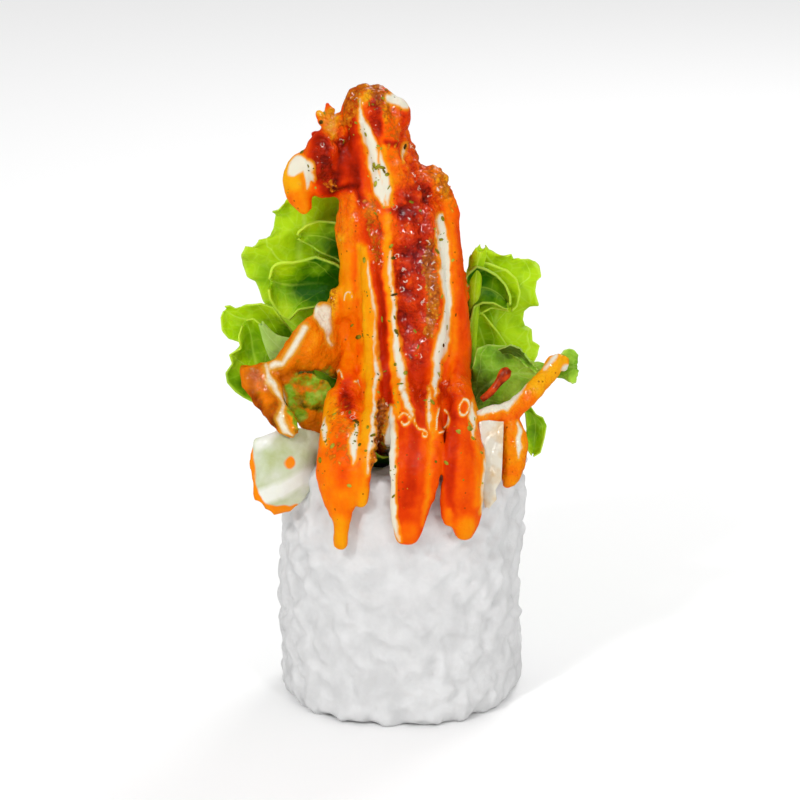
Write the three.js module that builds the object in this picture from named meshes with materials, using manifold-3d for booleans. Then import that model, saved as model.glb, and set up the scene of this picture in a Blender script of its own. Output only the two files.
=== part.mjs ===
// A fried shrimp sushi roll, standing on its cut end. A thick ring of sushi rice, lined with a sheet of nori,
// holds a tall battered shrimp and lettuce that fans out above the rim. Ribbons of spicy sauce and mayonnaise
// run down the front of the shrimp, swing out over the rim, and end in drips in front of the rice.
// Millimetres, +Z up. The origin is the centre of the cut end that the roll stands on. The drips face -Y.
import * as THREE from "three";
import { mergeVertices } from "three/addons/utils/BufferGeometryUtils.js";
import Module from "manifold-3d";

const wasm = await Module();
wasm.setup();
const { Manifold, Mesh: SolidMesh } = wasm;

// ---- driving dimensions ----
const RICE_RADIUS = 22.1; // of the core; the grains stand a little proud of it
const RICE_HEIGHT = 46.2;
const BORE_RADIUS = 14.4;
const RIM_ROUND = 2.4;
const FOOT_ROUND = 3.0;
const GRAIN_HALF_LENGTH = 2.9;
const GRAIN_HALF_WIDTH = 1.45;
const GRAIN_SUNK = 0.6; // how deep the middle of a grain lies in the core
const GRAINS = 92;
const GRAINS_REACH_IN = 2.6; // how far over the rim the grains are spread
const NORI_RADIUS = 14.0;
const NORI_THICK = 0.7;
const NORI_FOOT = 0.3;
const NORI_HEIGHT = 46.6;
const LEAF_RADIUS = 12.0; // where the leaves stand between shrimp and nori
const LEAF_THICK = 0.9;
const LEAF_FOOT = 0.2;
const CLEARANCE = 0.35;
const CRUMB_RELIEF = 0.55;
const CRUMBS_FROM = 48; // the crust is rough only above the rim
const DRIP_RADIUS = 24.9; // of the middle of the drips that hang in front of the rice
const SWING_FROM = 63; // the sauce swings outwards from here
const SWING_TO = 46; // and hangs straight down from here

// The battered shrimp as stacked ovals: height, centre x, centre y, half width, half depth. It leans out over
// the rim at the front, and tapers and leans left towards the top.
const SHRIMP_OVALS = [
  [0, 0, 0, 10.4, 10.4],
  [46, 0.1, 0, 10.4, 10.4],
  [48.6, 0.5, -0.8, 10.6, 11.4],
  [51.4, 0.9, -4.4, 11.2, 15.0],
  [54.5, 1.0, -4.1, 11.4, 14.5],
  [58.5, 1.0, -2.4, 11.4, 12.6],
  [63, 1.0, -0.6, 11.3, 10.5],
  [68, 1.0, 0.3, 11.2, 9.7],
  [76, 0.8, 0.6, 10.9, 9.6],
  [84, -0.3, 0.9, 10.3, 9.2],
  [90, -1.3, 1.0, 9.2, 8.2],
  [96, -2.4, 0.9, 7.4, 6.8],
  [101, -4.0, 0.4, 5.4, 5.8],
  [106, -4.7, 0.0, 4.9, 5.2],
  [109.6, -5.0, -0.4, 4.4, 4.4],
  [111.6, -5.2, -0.8, 2.8, 2.6],
  [112.2, -5.3, -0.9, 1.0, 0.9],
];

// ---- solids ----
function solidOf(geometry) {
  const bare = geometry.index ? geometry.toNonIndexed() : geometry.clone();
  bare.deleteAttribute("normal");
  bare.deleteAttribute("uv");
  const merged = mergeVertices(bare, 1e-4);
  return new Manifold(
    new SolidMesh({
      numProp: 3,
      vertProperties: merged.attributes.position.array,
      triVerts: new Uint32Array(merged.index.array),
    }),
  );
}

// A solid of points and triangles, turned inside out if its faces point inwards.
function closedSolid(points, index) {
  const geometry = new THREE.BufferGeometry().setFromPoints(points);
  geometry.setIndex(index);
  const solid = solidOf(geometry);
  if (solid.volume() > 0) return solid;
  geometry.setIndex([...index].reverse());
  return solidOf(geometry);
}

function geometryOf(solid) {
  const { vertProperties, triVerts, numProp } = solid.getMesh();
  const positions = new Float32Array(triVerts.length * 3);
  triVerts.forEach((vertex, i) => {
    const start = vertex * numProp;
    positions.set(vertProperties.subarray(start, start + 3), i * 3);
  });
  const geometry = new THREE.BufferGeometry();
  geometry.setAttribute("position", new THREE.BufferAttribute(positions, 3));
  return geometry;
}

function fuse(solids) {
  return solids.reduce((whole, solid) => whole.add(solid));
}

// The biggest body of a cut solid: loose scraps are dropped.
function mainBody(solid) {
  const bodies = solid.decompose();
  return bodies.reduce((best, body) => (body.volume() > best.volume() ? body : best));
}

// Everything below the surface that the roll stands on.
function belowGround() {
  const block = new THREE.BoxGeometry(200, 200, 20);
  block.translate(0, 0, -10);
  return solidOf(block);
}

// ---- helpers ----
let seed = 7;

function random() {
  seed = (seed * 1664525 + 1013904223) % 4294967296;
  return seed / 4294967296;
}

// A repeatable value between -1 and 1 for a pair of whole numbers.
function roughness(i, j) {
  const s = Math.sin(i * 127.1 + j * 311.7 + 5.3) * 43758.5453;
  return 2 * (s - Math.floor(s)) - 1;
}

// Smooth interpolation of a table whose first column is the parameter.
function tableAt(table, x) {
  const last = table.length - 1;
  if (x <= table[0][0]) return table[0].slice(1);
  if (x >= table[last][0]) return table[last].slice(1);
  const i = table.findIndex((row) => row[0] > x) - 1;
  const before = table[Math.max(0, i - 1)];
  const [from, to] = [table[i], table[i + 1]];
  const after = table[Math.min(last, i + 2)];
  const span = to[0] - from[0];
  const t = (x - from[0]) / span;
  const slope = (a, b, column) => ((b[column] - a[column]) / (b[0] - a[0])) * span;
  return from.slice(1).map((value, c) => {
    const column = c + 1;
    const rise = to[column] - value;
    const start = slope(before, to, column);
    const end = slope(from, after, column);
    return value + t * start + t * t * (3 * rise - 2 * start - end) + t ** 3 * (start + end - 2 * rise);
  });
}

// A closed solid through stacked loops of points, all with the same count, with flat ends.
function loft(loops) {
  const count = loops[0].length;
  const points = loops.flat();
  const index = [];
  for (let i = 0; i < loops.length - 1; i++) {
    for (let j = 0; j < count; j++) {
      const a = i * count + j;
      const b = i * count + ((j + 1) % count);
      index.push(a, b, b + count, a, b + count, a + count);
    }
  }
  const middle = (loop) => loop.reduce((sum, p) => sum.add(p), new THREE.Vector3()).divideScalar(count);
  const foot = points.length;
  const top = (loops.length - 1) * count;
  points.push(middle(loops[0]), middle(loops.at(-1)));
  for (let j = 0; j < count; j++) {
    const next = (j + 1) % count;
    index.push(foot, next, j);
    index.push(foot + 1, top + j, top + next);
  }
  return closedSolid(points, index);
}

function circle(radius, height, sides) {
  const loop = [];
  for (let j = 0; j < sides; j++) {
    const a = (2 * Math.PI * j) / sides;
    loop.push(new THREE.Vector3(radius * Math.cos(a), radius * Math.sin(a), height));
  }
  return loop;
}

// A six-sided oval loop round a centre.
function oval(centre, across, normal, halfWidth, halfThick) {
  const loop = [];
  for (let j = 0; j < 6; j++) {
    const a = (Math.PI * j) / 3;
    const spot = centre.clone().addScaledVector(across, halfWidth * Math.cos(a));
    loop.push(spot.addScaledVector(normal, halfThick * Math.sin(a)));
  }
  return loop;
}

// A lump: a sphere stretched to half sizes, roughened, tipped about X and Y, and put in place.
function lump({ centre, halves, tip = [0, 0], rough = 0 }) {
  const geometry = new THREE.SphereGeometry(1, 7, 5);
  const position = geometry.attributes.position;
  const p = new THREE.Vector3();
  for (let i = 0; i < position.count; i++) {
    p.fromBufferAttribute(position, i);
    const [kx, ky, kz] = p.toArray().map((v) => Math.round(v * 50));
    p.multiplyScalar(1 + rough * roughness(kx + 3 * ky, kz));
    position.setXYZ(i, p.x, p.y, p.z);
  }
  geometry.scale(...halves);
  geometry.rotateX(tip[0]);
  geometry.rotateY(tip[1]);
  geometry.translate(...centre);
  return solidOf(geometry);
}

// A tube of changing flattened section along a smooth path: rows of x, y, z, half width and half thickness.
function rope(rows, facing, grow = 0) {
  const path = new THREE.CatmullRomCurve3(rows.map(([x, y, z]) => new THREE.Vector3(x, y, z)));
  const sizes = rows.map((row, i) => [i / (rows.length - 1), row[3] + grow, row[4] + grow]);
  const front = new THREE.Vector3(...facing);
  const steps = rows.length + 2;
  const loops = [];
  for (let i = 0; i <= steps; i++) {
    const tangent = path.getTangent(i / steps);
    const across = tangent.clone().cross(front).normalize();
    const normal = across.clone().cross(tangent);
    loops.push(oval(path.getPoint(i / steps), across, normal, ...tableAt(sizes, i / steps)));
  }
  return loft(loops);
}

// A thin wavy sheet: surface(s, t) gives its middle for s and t from 0 to 1. Both faces are split into
// triangles alike, so the sheet never cuts through itself.
function sheet(rows, columns, thick, surface) {
  const grid = [];
  for (let i = 0; i <= rows; i++) {
    for (let j = 0; j <= columns; j++) {
      grid.push(surface(i / rows, j / columns));
    }
  }
  const id = (i, j) =>
    THREE.MathUtils.clamp(i, 0, rows) * (columns + 1) + THREE.MathUtils.clamp(j, 0, columns);
  const face = (offset) =>
    grid.map((p, k) => {
      const [i, j] = [Math.floor(k / (columns + 1)), k % (columns + 1)];
      const along = grid[id(i + 1, j)].clone().sub(grid[id(i - 1, j)]);
      const across = grid[id(i, j + 1)].clone().sub(grid[id(i, j - 1)]);
      return p.clone().addScaledVector(along.cross(across).normalize(), offset);
    });
  const back = grid.length;
  const index = [];
  for (let i = 0; i < rows; i++) {
    for (let j = 0; j < columns; j++) {
      const [a, b, c, d] = [id(i, j), id(i + 1, j), id(i + 1, j + 1), id(i, j + 1)];
      index.push(a, b, c, a, c, d);
      index.push(back + a, back + c, back + b, back + a, back + d, back + c);
    }
  }
  const border = [];
  for (let j = 0; j < columns; j++) border.push(id(0, j));
  for (let i = 0; i < rows; i++) border.push(id(i, columns));
  for (let j = columns; j > 0; j--) border.push(id(rows, j));
  for (let i = rows; i > 0; i--) border.push(id(i, 0));
  border.forEach((a, k) => {
    const b = border[(k + 1) % border.length];
    index.push(a, b, back + b, a, back + b, back + a);
  });
  return closedSolid([...face(thick / 2), ...face(-thick / 2)], index);
}

// ---- rice ----
function ring(profile, segments, wobble = () => 0) {
  const geometry = new THREE.LatheGeometry(profile, segments);
  geometry.rotateX(Math.PI / 2);
  const position = geometry.attributes.position;
  const points = [];
  for (let i = 0; i < position.count; i++) {
    const p = new THREE.Vector3().fromBufferAttribute(position, i);
    const radius = Math.hypot(p.x, p.y);
    const scale = radius > BORE_RADIUS + 1 ? 1 + wobble(Math.atan2(p.y, p.x), p.z) / radius : 1;
    points.push(new THREE.Vector3(p.x * scale, p.y * scale, p.z));
  }
  return closedSolid(points, [...geometry.index.array]);
}

// The section of the rice ring, as a closed outline of radius and height.
function riceProfile() {
  const shape = new THREE.Shape();
  shape.moveTo(BORE_RADIUS, 0);
  shape.lineTo(RICE_RADIUS - FOOT_ROUND, 0);
  shape.absarc(RICE_RADIUS - FOOT_ROUND, FOOT_ROUND, FOOT_ROUND, -Math.PI / 2, 0);
  shape.lineTo(RICE_RADIUS, RICE_HEIGHT / 2);
  shape.absarc(RICE_RADIUS - RIM_ROUND, RICE_HEIGHT - RIM_ROUND, RIM_ROUND, 0, Math.PI / 2);
  shape.lineTo(BORE_RADIUS, RICE_HEIGHT);
  shape.lineTo(BORE_RADIUS, 0);
  return shape.getPoints(1);
}

// The hand-pressed ring isn't quite round: it bulges and dips by a few tenths.
function riceWobble(angle, z) {
  return (
    0.2 * Math.sin(2 * angle - 1.4) +
    0.25 * Math.sin(3 * angle - z * 0.11) +
    0.25 * Math.sin(5 * angle + z * 0.23)
  );
}

// A point on a quarter round, and its outward direction, at so many half turns from straight out.
function roundAt(radius, z, round, halfTurns) {
  const [out, up] = [Math.cos(Math.PI * halfTurns), Math.sin(Math.PI * halfTurns)];
  return { radius: radius + round * out, z: z + round * up, out, up };
}

// Where the grains lie: spread evenly up the foot's corner, the side, the rim's corner and some of the rim.
function grainPlaces() {
  const side = RICE_HEIGHT - RIM_ROUND - FOOT_ROUND;
  const stretches = [
    {
      length: FOOT_ROUND,
      at: (f) => roundAt(RICE_RADIUS - FOOT_ROUND, FOOT_ROUND, FOOT_ROUND, 0.35 * (f - 1)),
    },
    {
      length: side,
      at: (f) => ({ radius: RICE_RADIUS, z: FOOT_ROUND + side * f, out: 1, up: 0 }),
    },
    {
      length: (RIM_ROUND * Math.PI) / 2,
      at: (f) => roundAt(RICE_RADIUS - RIM_ROUND, RICE_HEIGHT - RIM_ROUND, RIM_ROUND, 0.5 * f),
    },
    {
      length: GRAINS_REACH_IN,
      at: (f) => ({ radius: RICE_RADIUS - RIM_ROUND - GRAINS_REACH_IN * f, z: RICE_HEIGHT, out: 0, up: 1 }),
    },
  ];
  const total = stretches.reduce((sum, stretch) => sum + stretch.length, 0);
  const goldenAngle = Math.PI * (3 - Math.sqrt(5));
  const places = [];
  for (let i = 0; i < GRAINS; i++) {
    let rest = ((i + 0.5) / GRAINS) * total;
    const stretch = stretches.find(({ length }) => {
      if (rest <= length) return true;
      rest -= length;
      return false;
    });
    const angle = (i * goldenAngle + 0.2 * random()) % (2 * Math.PI);
    places.push({ ...stretch.at(rest / stretch.length), angle });
  }
  return places;
}

// Grains under the drips are left out, as they would cross the sauce.
function isClearOfDrips({ radius, angle, z }) {
  const x = radius * Math.cos(angle);
  if (Math.sin(angle) > 0) return true;
  const covers = ([rowX, rowZ, halfWidth]) =>
    rowZ < 54 && Math.abs(x - rowX) < halfWidth + 2.4 && Math.abs(z - rowZ) < 4.4;
  return !FRONT_RIBBONS.flat().some(covers);
}

function grain({ radius, z, out, up, angle }) {
  const normal = new THREE.Vector3(out * Math.cos(angle), out * Math.sin(angle), up);
  const size = 0.88 + 0.24 * random();
  const geometry = new THREE.SphereGeometry(size, 5, 3);
  geometry.scale(GRAIN_HALF_WIDTH, GRAIN_HALF_LENGTH, GRAIN_HALF_WIDTH);
  geometry.rotateZ(Math.PI * random());
  geometry.rotateX((random() - 0.5) * 0.5);
  const upright = new THREE.Vector3(0, 0, 1);
  geometry.applyQuaternion(new THREE.Quaternion().setFromUnitVectors(upright, normal));
  const reach = radius + riceWobble(angle, z);
  const spot = new THREE.Vector3(reach * Math.cos(angle), reach * Math.sin(angle), z);
  spot.addScaledVector(normal, 0.3 * random() - GRAIN_SUNK);
  geometry.translate(spot.x, spot.y, spot.z);
  return solidOf(geometry);
}

function rice() {
  const grains = grainPlaces().filter(isClearOfDrips).map(grain);
  const bore = loft([circle(BORE_RADIUS, -5, 32), circle(BORE_RADIUS, 60, 32)]);
  const whole = fuse([ring(riceProfile(), 26, riceWobble), ...grains]);
  return mainBody(whole.subtract(bore).subtract(belowGround()));
}

// ---- nori ----
function nori() {
  const inner = NORI_RADIUS - NORI_THICK;
  const sides = 28;
  const edge = circle(NORI_RADIUS, NORI_HEIGHT, sides);
  edge.forEach((p) => p.setZ(NORI_HEIGHT + 0.4 * Math.sin(5 * Math.atan2(p.y, p.x))));
  const outside = loft([circle(NORI_RADIUS, NORI_FOOT, sides), edge]);
  return outside.subtract(loft([circle(inner, -1, sides), circle(inner, 60, sides)]));
}

// ---- shrimp and its sauces ----
// The battered body, with crumbs in relief, or a smooth envelope of it when grown.
function shrimpBody(grow = 0) {
  const around = 15;
  const heights = [0, 44, 46.6, 49];
  for (let z = 51.4; z < 110; z += 3.4) heights.push(z);
  heights.push(111, 112.1);
  const loops = heights.map((z, row) => {
    const [cx, cy, rx, ry] = tableAt(SHRIMP_OVALS, z);
    const relief = CRUMB_RELIEF * THREE.MathUtils.clamp((z - CRUMBS_FROM) / 6, 0, 1);
    const loop = [];
    for (let j = 0; j < around; j++) {
      const a = (2 * Math.PI * j) / around;
      const more = grow > 0 ? grow + relief : relief * roughness(row, j);
      loop.push(new THREE.Vector3(cx + (rx + more) * Math.cos(a), cy + (ry + more) * Math.sin(a), z));
    }
    return loop;
  });
  return loft(loops);
}

// The y of the surface that the sauce runs on, at x and z. At the front (side -1) that is the shrimp, then a
// swing out over the rim, then the drips in front of the rice. At the back (side 1) it is the shrimp.
function drapeY(x, z, side) {
  const [cx, cy, rx, ry] = tableAt(SHRIMP_OVALS, Math.max(z, SWING_FROM + 5));
  const across = THREE.MathUtils.clamp((x - cx) / rx, -0.97, 0.97);
  const onShrimp = cy + side * ry * Math.sqrt(1 - across * across);
  if (side > 0 || z > SWING_FROM) return onShrimp;
  const hanging = -Math.sqrt(DRIP_RADIUS ** 2 - x * x);
  const fall = THREE.MathUtils.clamp((SWING_FROM - z) / (SWING_FROM - SWING_TO), 0, 1);
  return THREE.MathUtils.lerp(onShrimp, hanging, Math.sin((fall * Math.PI) / 2));
}

// A ribbon of sauce down the drape: a flattened tube through rows of x, z, half width and half thickness.
function ribbon(rows, side, grow = 0) {
  const spots = rows.map(([x, z]) => new THREE.Vector3(x, drapeY(x, z, side), z));
  const loops = rows.map(([x, z, halfWidth, halfThick], i) => {
    const before = spots[Math.max(0, i - 1)];
    const after = spots[Math.min(spots.length - 1, i + 1)];
    const tangent = after.clone().sub(before).normalize();
    const slope = (drapeY(x + 0.3, z, side) - drapeY(x - 0.3, z, side)) / 0.6;
    const normal = new THREE.Vector3(-side * slope, side, 0);
    normal.addScaledVector(tangent, -normal.dot(tangent)).normalize();
    return oval(spots[i], tangent.cross(normal), normal, halfWidth + grow, halfThick + grow);
  });
  return loft(loops);
}

// The ribbons on the front, from left to right.
const LEFT_RIBBON = [
  [-8.8, 93.5, 1.8, 1.0],
  [-9.2, 85, 2.7, 1.3],
  [-8.8, 76, 2.4, 1.3],
  [-8.7, 67, 2.9, 1.5],
  [-9.3, 61, 2.7, 1.6],
  [-10.2, 57, 3.2, 1.7],
  [-10.7, 52, 4.2, 1.8],
  [-11.0, 46.5, 4.3, 1.7],
  [-10.6, 41.8, 3.0, 1.5],
  [-10.4, 38.4, 1.6, 1.3],
  [-10.6, 34.6, 1.3, 1.1],
  [-10.6, 33.4, 0.6, 0.5],
];
const LEFT_NARROW_RIBBON = [
  [-6.2, 84.5, 0.9, 0.7],
  [-5.6, 76, 1.5, 1.1],
  [-5.0, 67, 1.7, 1.3],
  [-4.9, 59.5, 1.6, 1.3],
  [-5.7, 52.8, 1.8, 1.4],
  [-6.8, 47.6, 1.6, 1.3],
  [-6.9, 43.4, 1.2, 1.1],
  [-6.9, 41.8, 0.6, 0.6],
];
const MIDDLE_RIBBON = [
  [-3.6, 97, 1.5, 1.0],
  [-2.9, 87, 1.7, 1.2],
  [-2.3, 78, 1.8, 1.3],
  [-1.4, 69, 1.6, 1.3],
  [-0.4, 62.5, 1.9, 1.5],
  [0.7, 57.6, 2.7, 1.7],
  [1.8, 53, 4.0, 1.9],
  [1.9, 47, 4.1, 1.8],
  [1.4, 41.4, 3.8, 1.7],
  [0.9, 37.2, 2.9, 1.6],
  [0.7, 35.0, 1.9, 1.2],
  [0.7, 34.2, 0.8, 0.5],
];
const RIGHT_NARROW_RIBBON = [
  [4.6, 92, 0.9, 0.7],
  [5.6, 84, 1.4, 1.0],
  [6.4, 76, 1.6, 1.2],
  [6.5, 68, 1.7, 1.3],
  [5.6, 62.4, 1.6, 1.4],
  [5.0, 57.8, 1.8, 1.5],
  [5.6, 52.8, 1.8, 1.5],
  [5.2, 47.2, 1.5, 1.3],
  [4.8, 43, 0.9, 0.9],
];
const RIGHT_RIBBON = [
  [6.8, 94, 1.5, 0.9],
  [8.6, 85.5, 2.2, 1.2],
  [9.8, 76, 2.6, 1.3],
  [10.6, 66.5, 2.7, 1.5],
  [10.4, 60.5, 3.1, 1.7],
  [11.2, 56.8, 4.2, 1.9],
  [11.4, 52.5, 4.5, 2.0],
  [11.0, 46.5, 4.0, 1.8],
  [11.0, 41, 3.6, 1.6],
  [11.2, 37.6, 2.6, 1.5],
  [11.2, 35.8, 1.7, 1.1],
  [11.2, 35.0, 0.8, 0.5],
];
const RIGHT_SIDE_DRIP = [
  [8.4, 46, 1.4, 1.3],
  [8.2, 40.6, 1.5, 1.3],
  [8.1, 38.2, 0.7, 0.7],
];
// The folds of sauce that hang down from the very top.
const DARK_FOLD = [
  [-7.6, 108.6, 1.5, 0.9],
  [-8.6, 103, 1.9, 1.2],
  [-7.8, 97, 1.8, 1.1],
  [-6.4, 91, 1.0, 0.7],
];
const PALE_FOLD = [
  [-6.4, 110, 1.0, 0.8],
  [-5.4, 105, 1.3, 1.1],
  [-3.6, 99, 1.4, 1.2],
  [-2.2, 93.5, 1.1, 0.8],
];
const BRIGHT_FOLD = [
  [-3.8, 109.4, 1.4, 0.9],
  [-2.4, 104.6, 1.7, 1.3],
  [-0.8, 99, 1.7, 1.2],
  [0.4, 92, 1.0, 0.8],
];
const FRONT_RIBBONS = [
  LEFT_RIBBON,
  LEFT_NARROW_RIBBON,
  MIDDLE_RIBBON,
  RIGHT_NARROW_RIBBON,
  RIGHT_RIBBON,
  RIGHT_SIDE_DRIP,
  DARK_FOLD,
  PALE_FOLD,
  BRIGHT_FOLD,
];
const BACK_RIBBONS = [
  [
    [-6.0, 110, 1.4, 1.0],
    [-4.4, 100, 1.7, 1.2],
    [-3.8, 90, 1.8, 1.2],
    [-4.6, 80, 1.5, 1.0],
    [-4.2, 72, 0.8, 0.6],
  ],
  [
    [-2.6, 109, 1.2, 0.9],
    [1.8, 98, 1.6, 1.1],
    [3.6, 88, 1.6, 1.1],
    [3.0, 79, 0.9, 0.7],
  ],
];

function ribbons(grow = 0) {
  const front = FRONT_RIBBONS.map((rows) => ribbon(rows, -1, grow));
  const back = BACK_RIBBONS.map((rows) => ribbon(rows, 1, grow));
  return [...front, ...back];
}

// The top bends over to the left and ends in a glossy ball, the curled tail and a crisp flake of batter.
function curledEnd() {
  const ball = { centre: [-13.2, -2.4, 98.4], halves: [3.3, 3.2, 5.0], tip: [0, 0.15], rough: 0.06 };
  const neck = { centre: [-10.0, -1.4, 97.0], halves: [3.4, 3.6, 5.4], tip: [0, 0.2], rough: 0.08 };
  const flake = { centre: [-11.2, -0.6, 104.0], halves: [3.2, 2.6, 2.8], tip: [0, -0.7], rough: 0.14 };
  const leftCrown = { centre: [-8.0, -1.4, 107.2], halves: [2.6, 3.2, 4.2], tip: [0, 0.25], rough: 0.06 };
  const rightCrown = { centre: [-1.4, -1.2, 106.8], halves: [3.3, 3.2, 3.4], tip: [0, -0.3], rough: 0.06 };
  const tail = [
    [-14.0, -2.2, 98.6, 1.8, 1.6],
    [-16.8, -2.4, 97.8, 2.3, 1.9],
    [-18.2, -2.6, 94.8, 2.3, 1.9],
    [-17.6, -2.8, 91.4, 1.9, 1.6],
    [-16.3, -3.0, 88.6, 0.7, 0.7],
  ];
  return [...[ball, neck, flake, leftCrown, rightCrown].map(lump), rope(tail, [0, -1, 0])];
}

// Clumps of crumbs: one on the right shoulder, two that carry the outer drips over the rim.
function batterClumps() {
  return [
    lump({ centre: [5.0, -0.6, 94.4], halves: [3.2, 3.8, 3.2], tip: [0, -0.4], rough: 0.08 }),
    lump({ centre: [-8.6, -13.6, 53.4], halves: [4.2, 6.0, 4.6], tip: [0.5, 0], rough: 0.1 }),
    lump({ centre: [9.2, -13.2, 53.6], halves: [4.4, 6.4, 4.8], tip: [0.5, 0], rough: 0.1 }),
  ];
}

function shrimp() {
  return mainBody(fuse([shrimpBody(), ...curledEnd(), ...batterClumps(), ...ribbons()]));
}

// ---- leaves ----
const FRONTWARD = [0, -1, 0.25];

// One lobe of a leaf. Its spine is a smooth curve, and its half widths are spread evenly along it. Its edge
// has pointed teeth with hollow stretches between, bends by cup towards the side it faces, and ruffles.
function lobe(shape, grow = 0) {
  const { spine, halfWidths, facing, cup = 0, ruffle = 0, waves = 2, phase = 0 } = shape;
  const { teeth = 5, bite = 0.14, thick = LEAF_THICK, rows = 6, columns = 4 } = shape;
  const curve = new THREE.CatmullRomCurve3(spine.map((p) => new THREE.Vector3(...p)));
  const widths = halfWidths.map((w, i) => [i / (halfWidths.length - 1), w]);
  const front = new THREE.Vector3(...facing);
  return sheet(rows, columns, thick + 2 * grow, (s, u) => {
    const t = 2 * u - 1;
    const tangent = curve.getTangent(s);
    const across = tangent.clone().cross(front).normalize();
    const normal = across.clone().cross(tangent);
    const hollow = bite * Math.sin(Math.PI * ((s * teeth + (t > 0 ? 0.5 : 0)) % 1));
    const half = grow + tableAt(widths, s)[0] * (1 - hollow * Math.abs(t));
    const wave = Math.sin(2 * Math.PI * waves * s + phase + (t > 0 ? 1.7 : 0));
    const spot = curve.getPoint(s).addScaledVector(across, half * t);
    return spot.addScaledVector(normal, (cup + ruffle * s * wave) * t * t);
  });
}

// The foot of a leaf: a curved sheet that stands in the roll between shrimp and nori, from the cut end up.
function leafFoot({ from, to, height }, grow = 0) {
  const columns = Math.max(2, Math.round((to - from) / 20));
  return sheet(2, columns, LEAF_THICK + 2 * grow, (s, t) => {
    const angle = THREE.MathUtils.degToRad(from + (to - from) * t);
    const radius = LEAF_RADIUS + 0.2 * Math.sin(7 * angle + 3 * s);
    const z = LEAF_FOOT + (height - LEAF_FOOT) * s;
    return new THREE.Vector3(radius * Math.cos(angle), radius * Math.sin(angle), z);
  });
}

// The big frilly leaf behind the shrimp on the left.
function lettuceLeft(grow = 0) {
  const upper = {
    spine: [[-8.8, 8.2, 44], [-13, 8, 58], [-17.5, 7, 73], [-19.6, 5, 88.5]],
    halfWidths: [3, 7.5, 10.2, 9.6, 3.8],
    facing: FRONTWARD,
    cup: -1.5,
    ruffle: 2.4,
    waves: 2.6,
    teeth: 6,
    rows: 10,
    columns: 6,
  };
  const back = {
    spine: [[-3, 11.6, 44], [-4, 12.4, 58], [-6, 13.2, 72], [-8, 14, 84]],
    halfWidths: [3, 7, 9, 8, 3],
    facing: [0.1, -1, 0.1],
    cup: -1,
    ruffle: 2.2,
    waves: 2.2,
    phase: 2,
  };
  const cupFold = {
    spine: [[-11.5, 3.5, 60], [-16.5, 1.6, 67.5], [-18.6, 0.8, 75], [-17.5, 1.2, 81]],
    halfWidths: [2.5, 5.2, 6.2, 5.4, 2.4],
    facing: [0.25, -1, 0.1],
    cup: 3,
    ruffle: 0.5,
    phase: 1,
    teeth: 4,
    bite: 0.05,
  };
  const middle = {
    spine: [[-12, 2, 52], [-19, 3, 62], [-25.5, 2.6, 68.5], [-31.4, 1.6, 70.5]],
    halfWidths: [2.5, 3.6, 4.4, 4.2, 2.2],
    facing: FRONTWARD,
    cup: 1.4,
    ruffle: 1.2,
    waves: 1.6,
    phase: 0.4,
    teeth: 3,
  };
  const lower = {
    spine: [[-11, 2, 48], [-17, 1, 53], [-24, -0.4, 57.5], [-29.6, -1.2, 62.5]],
    halfWidths: [2.4, 4.4, 5.6, 5.2, 2.6],
    facing: [0.15, -1, 0.35],
    cup: 1.6,
    ruffle: 1.6,
    waves: 1.6,
    phase: 3,
    teeth: 4,
  };
  const lobes = [upper, back, cupFold, middle, lower].map((shape) => lobe(shape, grow));
  return fuse([leafFoot({ from: 88, to: 192, height: 49 }, grow), ...lobes]);
}

// The frilly leaf behind it on the right, with its thick pale rib.
function lettuceRight(grow = 0) {
  const upper = {
    spine: [[9.2, 7.7, 44], [13, 7.6, 57], [18, 6, 69], [19.8, 4.5, 80.6]],
    halfWidths: [3, 6, 7.4, 7.4, 3.4],
    facing: FRONTWARD,
    cup: -1.2,
    ruffle: 2,
    waves: 2.6,
    phase: 1.2,
    teeth: 6,
    rows: 10,
    columns: 6,
  };
  const back = {
    spine: [[4, 11.4, 44], [5, 12.3, 57], [6, 13, 68], [8, 13.5, 78]],
    halfWidths: [3, 6.5, 8.5, 7.5, 3],
    facing: [-0.1, -1, 0.1],
    cup: -1,
    ruffle: 2,
    phase: 0.5,
  };
  const cupFold = {
    spine: [[13.6, 3.4, 65], [15, 2.2, 70.5], [15.6, 2, 75], [15.2, 2.6, 79]],
    halfWidths: [2, 3.4, 3.8, 3.2, 1.6],
    facing: [-0.2, -1, 0.1],
    cup: 2,
    ruffle: 0.4,
    teeth: 3,
    bite: 0.05,
    rows: 5,
  };
  const drooping = {
    spine: [[12, 4, 47], [16.6, 4.4, 51], [21.8, 2.8, 50.8], [24.4, 0.6, 44.4]],
    halfWidths: [2, 3, 3.6, 3.4, 1.8],
    facing: [0.3, -1, 0.4],
    cup: 0.8,
    ruffle: 1,
    waves: 1.5,
    phase: 1,
    teeth: 3,
  };
  const rib = [
    [12.4, 5.6, 57, 0.9, 0.9],
    [13.2, 4.4, 66, 0.9, 0.9],
    [13.6, 4.0, 74, 1.1, 1.0],
    [14.2, 3.6, 82.4, 1.1, 0.9],
  ];
  const lobes = [upper, back, cupFold, drooping].map((shape) => lobe(shape, grow));
  return fuse([leafFoot({ from: -8, to: 82, height: 49 }, grow), ...lobes, rope(rib, [0, -1, 0], grow)]);
}

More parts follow.
